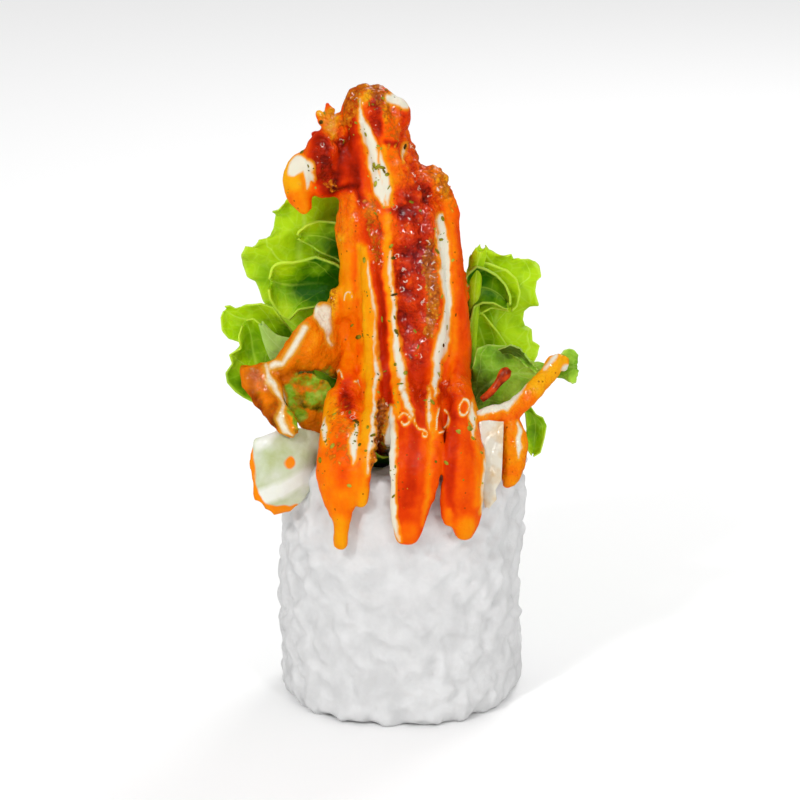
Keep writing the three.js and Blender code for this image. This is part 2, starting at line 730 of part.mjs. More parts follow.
// The leaf that juts out on the left, rolled into a bent ribbon and coated with sauce.
function lettuceLeftSauced(grow = 0) {
  const inner = {
    spine: [[-8.2, -8.4, 45], [-10.5, -9.5, 51], [-13.5, -9.4, 55], [-16.5, -9.4, 58.5]],
    halfWidths: [2.2, 3.4, 3.6, 3, 1.4],
    facing: [-0.2, -1, 0.3],
    cup: 0.6,
    ruffle: 0.8,
    waves: 1.5,
    teeth: 3,
  };
  const bentRibbon = [
    [-9.6, -9.8, 48.5, 1.4, 1.2],
    [-13.2, -11.6, 51.2, 2.0, 1.4],
    [-18.4, -12.4, 52.0, 2.3, 1.5],
    [-22.2, -11.0, 54.4, 2.5, 1.5],
    [-25.4, -8.8, 58.4, 2.5, 1.5],
    [-26.6, -7.0, 61.6, 2.5, 1.4],
    [-22.6, -7.6, 63.4, 2.5, 1.5],
    [-18.0, -7.8, 66.2, 2.6, 1.5],
    [-14.4, -7.0, 70.2, 2.0, 1.2],
  ];
  return fuse([
    leafFoot({ from: 224, to: 250, height: 48 }, grow),
    lobe(inner, grow),
    rope(bentRibbon, [0, -1, 0.2], grow),
  ]);
}

// The darker leaf that juts out low on the right, with sauce along its edge, a flow of sauce down from it
// and a drop of chili sauce on it.
function lettuceRightSauced(grow = 0) {
  const blade = {
    spine: [[10.2, -5.4, 45], [14.5, -6.5, 54], [20.6, -6.6, 59], [26.6, -6.2, 61], [30.8, -5.6, 61.6]],
    halfWidths: [2.6, 5, 5.2, 3.2, 1.8],
    facing: [-0.1, -0.7, 0.75],
    cup: 1,
    ruffle: 1,
    phase: 2.4,
    teeth: 4,
    rows: 9,
  };
  const tip = {
    spine: [[26.8, -5.4, 60.8], [29.2, -4.8, 62.8], [30.2, -4.4, 65]],
    halfWidths: [1.4, 2.2, 1.3],
    facing: [0, -1, 0.2],
    cup: 0.8,
    ruffle: 0.4,
    teeth: 2,
    rows: 5,
  };
  const sauceStrip = [
    [15.2, -14.2, 55.6, 1.2, 1.0],
    [19.2, -12.4, 55.6, 1.9, 1.3],
    [23.2, -9.8, 57.6, 1.8, 1.3],
    [26.4, -7.8, 60.6, 1.7, 1.3],
    [29.4, -6.4, 62.6, 1.4, 1.1],
  ];
  const flow = [
    [19.6, -12.6, 55.2, 1.8, 1.2],
    [20.8, -13.2, 51.4, 2.2, 1.4],
    [20.6, -14.2, 46.6, 2.4, 1.4],
    [19.6, -15.4, 42.4, 1.7, 1.1],
    [18.8, -16.2, 40.4, 0.7, 0.6],
  ];
  const chiliDrop = [
    [14.6, -9.8, 57.4, 0.8, 0.8],
    [16.6, -9.4, 59.2, 0.8, 0.8],
    [18.6, -8.8, 61.2, 1.2, 1.1],
  ];
  return fuse([
    leafFoot({ from: 296, to: 344, height: 48 }, grow),
    lobe(blade, grow),
    lobe(tip, grow),
    rope(sauceStrip, [0, -1, 0.2], grow),
    rope(flow, [0.8, -1, 0], grow),
    rope(chiliDrop, [0, -1, 0], grow),
  ]);
}

// The pale heart leaf, thick with mayonnaise, that hooks over the rim on the left.
function lettuceHeart(grow = 0) {
  const hook = {
    spine: [
      [-10.2, -6.6, 45.4],
      [-13.6, -9.6, 50.4],
      [-17.6, -12.8, 51],
      [-20.6, -15, 46.6],
      [-20.4, -16, 39.8],
    ],
    halfWidths: [1.8, 4, 5.4, 6, 4],
    facing: [-0.5, -1, 0.4],
    cup: 1.6,
    ruffle: 0.4,
    waves: 1,
    teeth: 2,
    bite: 0.04,
    thick: 2,
    rows: 8,
  };
  return fuse([leafFoot({ from: 199, to: 218, height: 47 }, grow), lobe(hook, grow)]);
}

// The small leaf that shows at the rim between the drips.
function lettuceFront(grow = 0) {
  const curl = {
    spine: [[-2.6, -11.4, 45], [-3.2, -13.4, 48.8], [-3.6, -16.4, 49.4], [-3.4, -18.6, 48.4]],
    halfWidths: [2.4, 3.4, 3.6, 2.4],
    facing: [0, -0.5, 1],
    cup: 0.5,
    ruffle: 0.7,
    waves: 1.5,
    teeth: 3,
  };
  return fuse([leafFoot({ from: 256, to: 290, height: 47 }, grow), lobe(curl, grow)]);
}

// The space that the leaves keep out of: the shrimp, the sauces, the nori and the rice, each a little larger.
function filledSpace() {
  const inner = NORI_RADIUS - NORI_THICK - CLEARANCE;
  const outer = RICE_RADIUS + GRAIN_HALF_WIDTH + CLEARANCE;
  const rim = RICE_HEIGHT + GRAIN_HALF_WIDTH + 0.15;
  const outline = [
    [inner, -1],
    [outer, -1],
    [outer, RICE_HEIGHT - 2],
    [outer - 3, rim],
    [inner, rim],
    [inner, -1],
  ].map(([radius, z]) => new THREE.Vector2(radius, z));
  const clumps = [...curledEnd(), ...batterClumps()];
  return fuse([shrimpBody(CLEARANCE), ...clumps, ...ribbons(CLEARANCE), ring(outline, 28)]);
}

// ---- the roll ----
const roll = new THREE.Group();

function add(name, solid, color, gloss) {
  const material = new THREE.MeshStandardMaterial({ color, roughness: 1 - gloss, metalness: 0 });
  const mesh = new THREE.Mesh(geometryOf(solid), material);
  mesh.geometry.computeVertexNormals();
  mesh.name = name;
  roll.add(mesh);
}

add("rice", rice(), 0xe9e9e6, 0.45);
add("nori", nori(), 0x16201a, 0.4);
add("shrimp", shrimp(), 0xe8590c, 0.7);

// Each leaf is cut back from the roll and from the leaves before it, with a small gap.
let taken = filledSpace();

function addLeaf(name, leaf, color, gloss) {
  add(name, mainBody(leaf().subtract(taken)), color, gloss);
  taken = taken.add(leaf(CLEARANCE));
}

addLeaf("lettuce_left", lettuceLeft, 0x8cc41c, 0.55);
addLeaf("lettuce_right", lettuceRight, 0x94c920, 0.55);
addLeaf("lettuce_left_sauced", lettuceLeftSauced, 0xd9741a, 0.65);
addLeaf("lettuce_right_sauced", lettuceRightSauced, 0x6fa832, 0.6);
addLeaf("lettuce_heart", lettuceHeart, 0xdfe6cf, 0.65);
addLeaf("lettuce_front", lettuceFront, 0x7f9a1a, 0.5);

export default roll;
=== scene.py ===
"""A fried shrimp sushi roll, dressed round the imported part.

Shapes are worked out in millimetres and put into the meshes in metres. What is inside a material, and where
the camera and the lamps stand, is in metres. Front is -Y, and up is +Z.
"""

import bpy
import numpy as np
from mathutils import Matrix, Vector


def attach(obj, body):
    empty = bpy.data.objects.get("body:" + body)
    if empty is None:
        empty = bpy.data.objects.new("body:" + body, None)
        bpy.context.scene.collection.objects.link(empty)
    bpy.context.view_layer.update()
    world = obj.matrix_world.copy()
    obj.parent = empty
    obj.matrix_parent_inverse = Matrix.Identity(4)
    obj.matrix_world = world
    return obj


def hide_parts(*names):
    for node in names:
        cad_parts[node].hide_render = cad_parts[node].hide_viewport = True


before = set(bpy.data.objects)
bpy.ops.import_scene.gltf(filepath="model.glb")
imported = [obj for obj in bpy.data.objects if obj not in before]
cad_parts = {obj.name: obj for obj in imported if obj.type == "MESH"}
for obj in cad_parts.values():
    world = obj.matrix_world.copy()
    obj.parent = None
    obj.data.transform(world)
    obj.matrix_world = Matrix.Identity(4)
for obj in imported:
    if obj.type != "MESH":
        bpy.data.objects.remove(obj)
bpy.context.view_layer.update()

# ---- camera, floor and light ----
# A product shot: the roll stands on a plain white sweep, seen a little from above through a long lens. Soft
# light comes from all round, and small lamps put the crisp highlights on the wet sauce.
LOOK_AT = Vector((-0.00018, 0, 0.0546))
CAMERA_DISTANCE = 0.6
CAMERA_RISE = np.radians(15)
LENS = 150
FLOOR_CORNERS = [(-3, -3, 0), (3, -3, 0), (3, 6, 0), (-3, 6, 0)]

camera = bpy.data.objects.new("camera", bpy.data.cameras.new("camera"))
camera.data.lens = LENS
camera.data.clip_start = 0.01
away = Vector((0, -np.cos(CAMERA_RISE), np.sin(CAMERA_RISE)))
camera.location = LOOK_AT + CAMERA_DISTANCE * away
camera.rotation_euler = away.to_track_quat("Z", "Y").to_euler()
bpy.context.scene.collection.objects.link(camera)
bpy.context.scene.camera = camera
bpy.context.scene.view_settings.view_transform = "Standard"


def lamp(name, place, size, watts, glints_only=False):
    """A square soft box at `place` that faces the middle of the roll. One for glints only lights nothing,
    but shows in the wet surfaces that mirror it."""
    light = bpy.data.lights.new(name, "AREA")
    light.size = size
    light.energy = watts
    holder = bpy.data.objects.new(name, light)
    holder.location = place
    holder.rotation_euler = (Vector(place) - LOOK_AT).to_track_quat("Z", "Y").to_euler()
    holder.visible_diffuse = not glints_only
    bpy.context.scene.collection.objects.link(holder)


lamp("key_light", (-0.30, -0.55, 0.50), 0.07, 1.5)
lamp("front_light", (0.26, -0.60, 0.30), 0.05, 0.6)
lamp("back_light", (0.25, 0.50, 0.60), 0.30, 1.6)
lamp("left_glint", (-0.42, -0.46, 0.30), 0.05, 0.6, glints_only=True)
lamp("top_glint", (0.06, -0.40, 0.66), 0.05, 0.6, glints_only=True)
lamp("right_glint", (0.36, -0.46, 0.44), 0.05, 0.6, glints_only=True)
lamp("middle_glint", (-0.10, -0.60, 0.42), 0.04, 0.4, glints_only=True)


def shader_node(tree, kind, inputs=None, **settings):
    """A new node: each input is linked where it is given a socket, and set where it is given a value."""
    made = tree.nodes.new(kind)
    for name, value in settings.items():
        setattr(made, name, value)
    for name, value in (inputs or {}).items():
        if isinstance(value, bpy.types.NodeSocket):
            tree.links.new(value, made.inputs[name])
        else:
            made.inputs[name].default_value = value
    return made


def dim_in_mirrors(tree, seen, mirrored):
    """A brightness that is `seen` by the eye, and only `mirrored` in a wet surface."""
    rays = shader_node(tree, "ShaderNodeLightPath")
    inputs = {"Value": rays.outputs["Is Glossy Ray"], "To Min": seen, "To Max": mirrored}
    return shader_node(tree, "ShaderNodeMapRange", inputs).outputs["Result"]


# The white surroundings light everything evenly.
world = bpy.data.worlds.new("studio")
world.use_nodes = True
sky = world.node_tree
background = sky.nodes["Background"]
background.inputs["Color"].default_value = (1, 1, 1, 1)
sky.links.new(dim_in_mirrors(sky, seen=0.80, mirrored=0.04), background.inputs["Strength"])
bpy.context.scene.world = world

floor_mesh = bpy.data.meshes.new("floor")
floor_mesh.from_pydata(FLOOR_CORNERS, [], [(0, 1, 2, 3)])
floor = bpy.data.objects.new("floor", floor_mesh)
bpy.context.scene.collection.objects.link(floor)
floor_material = bpy.data.materials.new("white_sweep")
floor_material.use_nodes = True
floor_tree = floor_material.node_tree
floor_shader = floor_tree.nodes["Principled BSDF"]
floor_shader.inputs["Roughness"].default_value = 0.8
floor_shader.inputs["Specular IOR Level"].default_value = 0.1
floor_white = dim_in_mirrors(floor_tree, seen=0.96, mirrored=0.06)
floor_tree.links.new(floor_white, floor_shader.inputs["Base Color"])
floor_mesh.materials.append(floor_material)

# ---- rice ----
# Cooked short-grain rice, pressed by hand into a ring round the nori. About a thousand soft grains lie
# every way along the surface, half sunk in a core of the same rice, and stick together into one moist
# white mass.
MM = 0.001
RICE_RADIUS = 21.9
RICE_HEIGHT = 46.2
BORE_RADIUS = 14.45
RIM_ROUND = 2.4
FOOT_ROUND = 3.0
SIDE_FOOT = 2.2
SIDE_TOP = 43.8
RIM_DEPTH = 4.6
SIDE_GRAINS = 820
RIM_GRAINS = 150
FOOT_GRAINS = 110
GRAIN_HALF_SIZES = (2.75, 1.35, 1.25)
GRAIN_SPREAD = (0.85, 1.12)
GRAIN_BEND = 0.18
GRAIN_TIP = 0.35
GRAIN_SUNK = (-1.3, -0.6)
CORE_INSET = 0.5
GOLDEN_ANGLE = np.pi * (3 - np.sqrt(5))

draw = np.random.default_rng(11)


def unit(vectors):
    """Each vector divided by its own length."""
    return vectors / np.linalg.norm(vectors, axis=-1, keepdims=True)


def tube_triangles(rings, around):
    """Triangles of a closed tube: `rings` rings of `around` points, then the point at each end."""
    ring = np.arange(rings - 1)[:, None] * around
    side = np.arange(around)[None, :]
    a = (ring + side).ravel()
    b = (ring + (side + 1) % around).ravel()
    wall = np.concatenate([np.stack([a, b, b + around], 1), np.stack([a, b + around, a + around], 1)])
    first = np.arange(around)
    after = (first + 1) % around
    foot = np.full(around, rings * around)
    last = (rings - 1) * around
    ends = [np.stack([foot, after, first], 1), np.stack([foot + 1, last + first, last + after], 1)]
    return np.concatenate([wall, *ends])


def ball(rings, around):
    """A unit sphere, its poles on Z: rings at even angles, then the two poles."""
    up = np.linspace(-np.pi / 2, np.pi / 2, rings + 2)[1:-1, None]
    turn = np.linspace(0, 2 * np.pi, around, endpoint=False)[None, :]
    level = np.sin(up) + 0 * turn
    sphere = np.stack([np.cos(up) * np.cos(turn), np.cos(up) * np.sin(turn), level], -1).reshape(-1, 3)
    return np.concatenate([sphere, [[0, 0, -1], [0, 0, 1]]]), tube_triangles(rings, around)


def lattice(i, j, k, seed):
    """A repeatable value from -1 to 1 for whole numbers: the fraction of a large sine."""
    s = np.sin(i * 127.1 + j * 311.7 + k * 74.7 + seed * 53.3) * 43758.5453
    return 2 * (s - np.floor(s)) - 1


def soft_noise(points, size, seed=0):
    """Smooth bumps about `size` mm apart: the lattice values round a point, mixed by 3f^2 - 2f^3."""
    cell = np.floor(points / size)
    f = points / size - cell
    f = f * f * (3 - 2 * f)
    total = np.zeros(points.shape[:-1])
    for corner in np.ndindex(2, 2, 2):
        share = np.prod(np.where(corner, f, 1 - f), axis=-1)
        total += share * lattice(*np.moveaxis(cell + corner, -1, 0), seed)
    return total


def solid_piece(name, shells):
    """A new mesh object of closed shells, each a pair of points in mm and triangles."""
    start = np.cumsum([0] + [len(points) for points, _ in shells[:-1]])
    points = np.concatenate([points for points, _ in shells])
    triangles = np.concatenate([faces + first for (_, faces), first in zip(shells, start)])
    mesh = bpy.data.meshes.new(name)
    mesh.from_pydata(points * MM, [], triangles)
    mesh.shade_smooth()
    piece = bpy.data.objects.new(name, mesh)
    bpy.context.scene.collection.objects.link(piece)
    return piece


def points_of(piece):
    """The points of a piece's mesh, in mm."""
    flat = np.empty(len(piece.data.vertices) * 3, np.float32)
    piece.data.vertices.foreach_get("co", flat)
    return flat.reshape(-1, 3).astype(float) / MM


def normals_of(piece):
    """The outward normal at each point of a piece's mesh."""
    flat = np.empty(len(piece.data.vertices) * 3, np.float32)
    piece.data.vertex_normals.foreach_get("vector", flat)
    return flat.reshape(-1, 3).astype(float)


def move_points(piece, points):
    """Puts points in mm back into the mesh."""
    piece.data.vertices.foreach_set("co", (points * MM).astype(np.float32).ravel())
    piece.data.update()


def outer_skin(mesh):
    """Deletes all but the largest connected surface: every point takes the lowest number that its edges
    reach, again and again, until nothing changes."""
    ends = np.empty(len(mesh.edges) * 2, np.int32)
    mesh.edges.foreach_get("vertices", ends)
    a, b = ends.reshape(-1, 2).T
    label = np.arange(len(mesh.vertices))
    while True:
        lowest = label.copy()
        np.minimum.at(lowest, a, label[b])
        np.minimum.at(lowest, b, label[a])
        lowest = lowest[lowest]
        if (lowest == label).all():
            break
        label = lowest
    biggest = np.bincount(label).argmax()
    quads = np.empty(len(mesh.loops), np.int32)
    mesh.loops.foreach_get("vertex_index", quads)
    quads = quads.reshape(-1, 4)
    quads = quads[label[quads[:, 0]] == biggest]
    kept, numbers = np.unique(quads, return_inverse=True)
    flat = np.empty(len(mesh.vertices) * 3, np.float32)
    mesh.vertices.foreach_get("co", flat)
    skin = bpy.data.meshes.new(mesh.name)
    skin.from_pydata(flat.reshape(-1, 3)[kept], [], numbers.reshape(-1, 4))
    return skin


def fused_piece(name, shells, voxel, rounds):
    """The shells melted into one skin of even `voxel` mm squares, its steps relaxed `rounds` times."""
    piece = solid_piece(name, shells)
    remesh = piece.modifiers.new("melt", "REMESH")
    remesh.mode = "VOXEL"
    remesh.voxel_size = voxel * MM
    relax = piece.modifiers.new("relax", "SMOOTH")
    relax.factor = 0.5
    relax.iterations = rounds
    melted = bpy.data.meshes.new_from_object(piece.evaluated_get(bpy.context.evaluated_depsgraph_get()))
    piece.modifiers.clear()
    piece.data = outer_skin(melted)
    piece.data.name = name
    piece.data.shade_smooth()
    return piece


def rice_wobble(angle, height):
    """How far the hand-pressed ring bulges or dips, as three slow waves round it."""
    waves = 0.2 * np.sin(2 * angle - 1.4) + 0.25 * np.sin(3 * angle - height * 0.11)
    return waves + 0.25 * np.sin(5 * angle + height * 0.23)


def closed_rings(ring):
    """The points and triangles of a surface that closes both ways: rings of points, the last joined to the
    first."""
    rings, around = ring.shape[:2]
    a = np.arange(rings)[:, None] * around + np.arange(around)
    b = (a + around) % (rings * around)
    right = np.roll(a, -1, axis=1)
    far = np.roll(b, -1, axis=1)
    walls = [np.stack([a, b, far], -1), np.stack([a, far, right], -1)]
    return ring.reshape(-1, 3), np.concatenate([wall.reshape(-1, 3) for wall in walls])


def rice_core():
    """The ring under the grains: a rounded section of radius and height, turned about Z. Its outside, but
    not its bore, wobbles and lies CORE_INSET deeper than the grains' own ring."""
    quarter = np.linspace(0, np.pi / 2, 7)
    foot_r = RICE_RADIUS - FOOT_ROUND + FOOT_ROUND * np.sin(quarter)
    foot_z = FOOT_ROUND - FOOT_ROUND * np.cos(quarter)
    rim_r = RICE_RADIUS - RIM_ROUND + RIM_ROUND * np.cos(quarter)
    rim_z = RICE_HEIGHT - RIM_ROUND + RIM_ROUND * np.sin(quarter)
    bore_z = np.linspace(RICE_HEIGHT, 0, 9)
    radius = np.concatenate([foot_r, rim_r, np.full(len(bore_z), BORE_RADIUS)])
    height = np.concatenate([foot_z, rim_z, bore_z])
    turn = np.linspace(0, 2 * np.pi, 120, endpoint=False)[:, None]
    outside = radius > BORE_RADIUS
    reach = radius + np.where(outside, rice_wobble(turn, height) - CORE_INSET, 0)
    return closed_rings(np.stack([reach * np.cos(turn), reach * np.sin(turn), height + 0 * turn], -1))


def along_surface(normals, hint, turn):
    """For each normal a direction along the surface, `turn` round from the one that `hint` picks, and the
    direction at right angles to it."""
    start = unit(np.cross(normals, hint))
    level = np.cos(turn) * start + np.sin(turn) * np.cross(normals, start)
    return level, np.cross(normals, level)


def strewn(shape, faces, places, axes, sizes):
    """A copy of one small shape at each place: each of its three columns runs along one of the axes there,
    stretched by a size."""
    points = places[:, None]
    for k, axis in enumerate(axes):
        points = points + sizes[..., k : k + 1] * shape[None, :, k : k + 1] * axis[:, None]
    first = np.arange(len(places))[:, None, None] * len(shape)
    return points.reshape(-1, 3), (faces[None] + first).reshape(-1, 3)


def grains(spots, normals):
    """Ovals that lie along the surface: a unit sphere stretched to a grain's size, bent a little, turned by
    a random angle about the surface's normal, and tipped by up to GRAIN_TIP."""
    count = len(spots)
    sphere, faces = ball(rings=7, around=10)
    x, y, z = sphere.T
    oval = np.stack([z, x + GRAIN_BEND * z**2, y], -1)
    sizes = draw.uniform(*GRAIN_SPREAD, (count, 1, 1)) * np.array(GRAIN_HALF_SIZES)
    turn = draw.uniform(0, np.pi, (count, 1))
    tip = draw.uniform(-GRAIN_TIP, GRAIN_TIP, (count, 1))
    level, side = along_surface(normals, [0.13, 0.21, 0.97], turn)
    long = np.cos(tip) * level + np.sin(tip) * normals
    return strewn(oval, faces, spots, (long, side, np.cross(long, side)), sizes)


def grain_ring(count, radius, height, out, up):
    """Grains spread round the ring by the golden angle; each value has one entry for a grain."""
    turn = np.arange(count) * GOLDEN_ANGLE + draw.uniform(0, 0.3, count)
    normal = np.stack([out * np.cos(turn), out * np.sin(turn), up + 0 * turn], -1)
    reach = radius + rice_wobble(turn, height)
    spot = np.stack([reach * np.cos(turn), reach * np.sin(turn), height + 0 * turn], -1)
    sunk = draw.uniform(*GRAIN_SUNK, (count, 1))
    return grains(spot + sunk * normal, unit(normal))


def rice_shells():
    """The core, then grains up the side, over the rim some way towards the bore, and round the foot."""
    level = (np.arange(SIDE_GRAINS) + 0.5) / SIDE_GRAINS
    side_z = SIDE_FOOT + (SIDE_TOP - SIDE_FOOT) * level
    side = grain_ring(SIDE_GRAINS, RICE_RADIUS, side_z, np.ones(SIDE_GRAINS), 0)
    lean = (np.arange(RIM_GRAINS) + 0.5) / RIM_GRAINS * 0.5 * np.pi
    inward = draw.uniform(0, RIM_DEPTH, RIM_GRAINS) * (lean > 1.0)
    rim_r = RICE_RADIUS - RIM_ROUND + RIM_ROUND * np.cos(lean) - inward
    rim_z = RICE_HEIGHT - RIM_ROUND + RIM_ROUND * np.sin(lean)
    rim = grain_ring(RIM_GRAINS, rim_r, rim_z, np.cos(lean), np.sin(lean))
    fall = (np.arange(FOOT_GRAINS) + 0.5) / FOOT_GRAINS * 0.5 * np.pi
    foot_r = RICE_RADIUS - FOOT_ROUND + FOOT_ROUND * np.cos(fall)
    foot_z = FOOT_ROUND - FOOT_ROUND * np.sin(fall)
    foot = grain_ring(FOOT_GRAINS, foot_r, foot_z, np.cos(fall), -np.sin(fall))
    return [rice_core(), side, rim, foot]


rice = fused_piece("rice_grains", rice_shells(), voxel=0.44, rounds=10)
spots = points_of(rice)
spots += normals_of(rice) * (0.1 * soft_noise(spots, 1.1, seed=3))[:, None]
reach = np.hypot(spots[:, 0], spots[:, 1])
spots[:, :2] *= np.maximum(1, BORE_RADIUS / reach)[:, None]
spots[:, 2] = np.maximum(spots[:, 2], 0)
move_points(rice, spots)


def principled(name):
    """A new material: its node tree and its one Principled shader."""
    material = bpy.data.materials.new(name)
    material.use_nodes = True
    return material, material.node_tree, material.node_tree.nodes["Principled BSDF"]


def set_inputs(shader, **values):
    """Sets constants on the shader's own sockets; underscores stand for spaces."""
    for name, value in values.items():
        shader.inputs[name.replace("_", " ")].default_value = value


def ramp(tree, factor, stops):
    """A colour ramp: rows of position and linear red, green and blue."""
    made = shader_node(tree, "ShaderNodeValToRGB", {"Fac": factor})
    elements = made.color_ramp.elements
    while len(elements) < len(stops):
        elements.new(0.5)
    for element, (position, *colour) in zip(elements, stops):
        element.position = position
        element.color = (*colour, 1)
    return made.outputs["Color"]


def noise(tree, scale, detail=3.0, stretch=(1, 1, 1)):
    """Noise over the object, in cells per metre, stretched along its axes."""
    place = shader_node(tree, "ShaderNodeTexCoord").outputs["Object"]
    mapped = shader_node(tree, "ShaderNodeMapping", {"Vector": place, "Scale": stretch})
    inputs = {"Vector": mapped.outputs["Vector"], "Scale": scale, "Detail": detail}
    return shader_node(tree, "ShaderNodeTexNoise", inputs).outputs["Fac"]


def bumped(tree, shader, height, distance):
    """Feeds a height, `distance` metres high, to the shader's normal."""
    inputs = {"Height": height, "Distance": distance, "Strength": 1.0}
    bump = shader_node(tree, "ShaderNodeBump", inputs)
    tree.links.new(bump.outputs["Normal"], shader.inputs["Normal"])


def clouded_material(name, clouds, stops, bumps=None, **constants):
    """A material whose colour a soft noise picks from the stops, and whose skin a finer one makes uneven.
    Both are cells per metre and detail, the bumps with a height in metres."""
    material, tree, shader = principled(name)
    tree.links.new(ramp(tree, noise(tree, *clouds), stops), shader.inputs["Base Color"])
    set_inputs(shader, **constants)
    if bumps:
        scale, detail, height = bumps
        bumped(tree, shader, noise(tree, scale, detail), height)
    return material


# Moist white starch: light goes a millimetre or two into the grains, and their skins shine softly.
cooked_rice = clouded_material(
    "cooked_rice",
    clouds=(260, 3),
    stops=[(0.35, 0.62, 0.62, 0.62), (0.65, 0.71, 0.71, 0.71)],
    bumps=(2600, 2, 0.00006),
    Roughness=0.45,
    Specular_IOR_Level=0.2,
    Subsurface_Weight=0.4,
    Subsurface_Scale=0.0008,
    Subsurface_Radius=(1, 1, 1),
)
rice.data.materials.append(cooked_rice)
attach(rice, "root")
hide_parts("rice")

# ---- nori ----
# A sheet of pressed, roasted seaweed, rolled into a tube between the rice and the filling. Only its dark,
# slightly wavy upper edge shows, just above the rice.
NORI_RADIUS = 13.98
NORI_THICK = 0.66
NORI_GAP = 0.06
NORI_FOOT = 0.3
NORI_HEIGHT = 46.6
NORI_ROWS = 24


def nori_shell():
    """A tube wall: up the outside, over the edge and down the inside. Two sines wave its upper edge by half
    a millimetre, and it crinkles by the product of two more."""
    turn = np.linspace(0, 2 * np.pi, 180, endpoint=False)[:, None]
    level = np.concatenate([np.linspace(0, 1, NORI_ROWS), np.linspace(1, 0, NORI_ROWS)])
    inside = np.repeat([0, 1], NORI_ROWS)
    edge = NORI_HEIGHT + 0.35 * np.sin(5 * turn) + 0.15 * np.sin(13 * turn + 1)
    height = NORI_FOOT + (edge - NORI_FOOT) * level
    crinkle = 0.04 * np.sin(31 * turn + 0.6 * height) * np.sin(17 * turn - 0.9 * height)
    reach = NORI_RADIUS - NORI_GAP - NORI_THICK * inside + crinkle
    return closed_rings(np.stack([reach * np.cos(turn), reach * np.sin(turn), height], -1))


nori = solid_piece("nori_sheet", [nori_shell()])
roasted_nori = clouded_material(
    "roasted_nori",
    clouds=(900, 3),
    stops=[(0.3, 0.006, 0.007, 0.008), (0.7, 0.03, 0.035, 0.03)],
    bumps=(1800, 4, 0.0002),
    Roughness=0.45,
)
nori.data.materials.append(roasted_nori)
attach(nori, "root")
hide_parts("nori")

# ---- shrimp in crumb batter, sauce and mayonnaise ----
# A large shrimp fried in a craggy crumb batter, standing in the roll. Chili sauce and mayonnaise were
# squeezed over it in long ribbons, which melt into one glaze, sag over the rim in a curtain and end in
# drips.
STEM_TOP = 43.5
SHRIMP_TOP = 112.1
CROWN_FROM = 104
STEPS_PER_ROW = 12
NO_MAYONNAISE = -2
# The sauce follows the shrimp down to DRAPE_FOOT, swings outwards between the next two heights, and hangs
# at DRIP_RADIUS in front of the rice.
DRAPE_FOOT = 68
SWING_FROM = 63
SWING_TO = 46
DRIP_RADIUS = 24.9
# The shrimp's body: height, centre x, centre y, half width and half depth.
SHRIMP_OVALS = [
    (0, 0, 0, 10.4, 10.4),
    (46, 0.1, 0, 10.4, 10.4),
    (48.6, 0.5, -0.8, 10.6, 11.4),
    (51.4, 0.9, -4.4, 11.2, 15.0),
    (54.5, 1.0, -4.1, 11.4, 14.5),
    (58.5, 1.0, -2.4, 11.4, 12.6),
    (63, 1.0, -0.6, 11.3, 10.5),
    (68, 1.0, 0.3, 11.2, 9.7),
    (76, 0.8, 0.6, 10.9, 9.6),
    (84, -0.3, 0.9, 10.3, 9.2),
    (90, -1.3, 1.0, 9.2, 8.2),
    (96, -2.4, 0.9, 7.4, 6.8),
    (101, -4.0, 0.4, 5.4, 5.8),
    (106, -4.7, 0.0, 4.9, 5.2),
    (109.6, -5.0, -0.4, 4.4, 4.4),
    (111.6, -5.2, -0.8, 2.8, 2.6),
    (112.2, -5.3, -0.9, 1.0, 0.9),
]
# Ribbons of sauce, folds at the top and drips, each as rows of x, z, half width and half thickness.
LEFT_RIBBON = [
    (-8.8, 94, 1.8, 1.0), (-9.7, 88.5, 2.6, 1.3), (-9.9, 85, 2.8, 1.4), (-9.2, 81, 2.3, 1.3),
    (-9.5, 77, 2.6, 1.4), (-9.3, 73.5, 2.3, 1.4), (-10.2, 69, 3.0, 1.6), (-9.7, 64, 2.6, 1.5),
    (-9.7, 60.5, 2.6, 1.6), (-10.5, 57, 3.4, 1.7), (-10.7, 52, 4.2, 1.8), (-11.0, 46.5, 4.3, 1.7),
    (-10.6, 41.8, 3.0, 1.5), (-10.4, 38.4, 1.6, 1.3), (-10.6, 34.6, 1.3, 1.1), (-10.6, 33.4, 0.6, 0.5),
]
LEFT_NARROW_RIBBON = [
    (-6.2, 84.5, 0.9, 0.7), (-5.6, 76, 1.5, 1.1), (-5.0, 67, 1.7, 1.3), (-4.9, 59.5, 1.6, 1.3),
    (-5.7, 52.8, 1.8, 1.4), (-6.8, 47.6, 1.6, 1.3), (-6.9, 43.4, 1.2, 1.1), (-6.9, 41.8, 0.6, 0.6),
]
MIDDLE_RIBBON = [
    (-3.6, 97, 1.5, 1.0), (-2.9, 87, 1.7, 1.2), (-2.3, 78, 1.8, 1.3), (-1.4, 69, 1.6, 1.3),
    (-0.4, 62.5, 1.9, 1.5), (0.7, 57.6, 2.7, 1.7), (1.8, 53, 3.9, 1.9), (1.9, 47, 3.9, 1.8),
    (1.5, 41.8, 3.5, 1.7), (1.1, 37.8, 2.7, 1.6), (0.9, 35.8, 1.8, 1.2), (0.9, 35.0, 0.8, 0.5),
]
RIGHT_NARROW_RIBBON = [
    (4.6, 92, 0.9, 0.7), (5.6, 84, 1.4, 1.0), (6.4, 76, 1.6, 1.2), (6.5, 68, 1.7, 1.3),
    (5.6, 62.4, 1.6, 1.4), (5.0, 57.8, 1.8, 1.5), (5.6, 52.8, 1.8, 1.5), (5.2, 47.2, 1.5, 1.3),
    (4.8, 43, 0.9, 0.9),
]
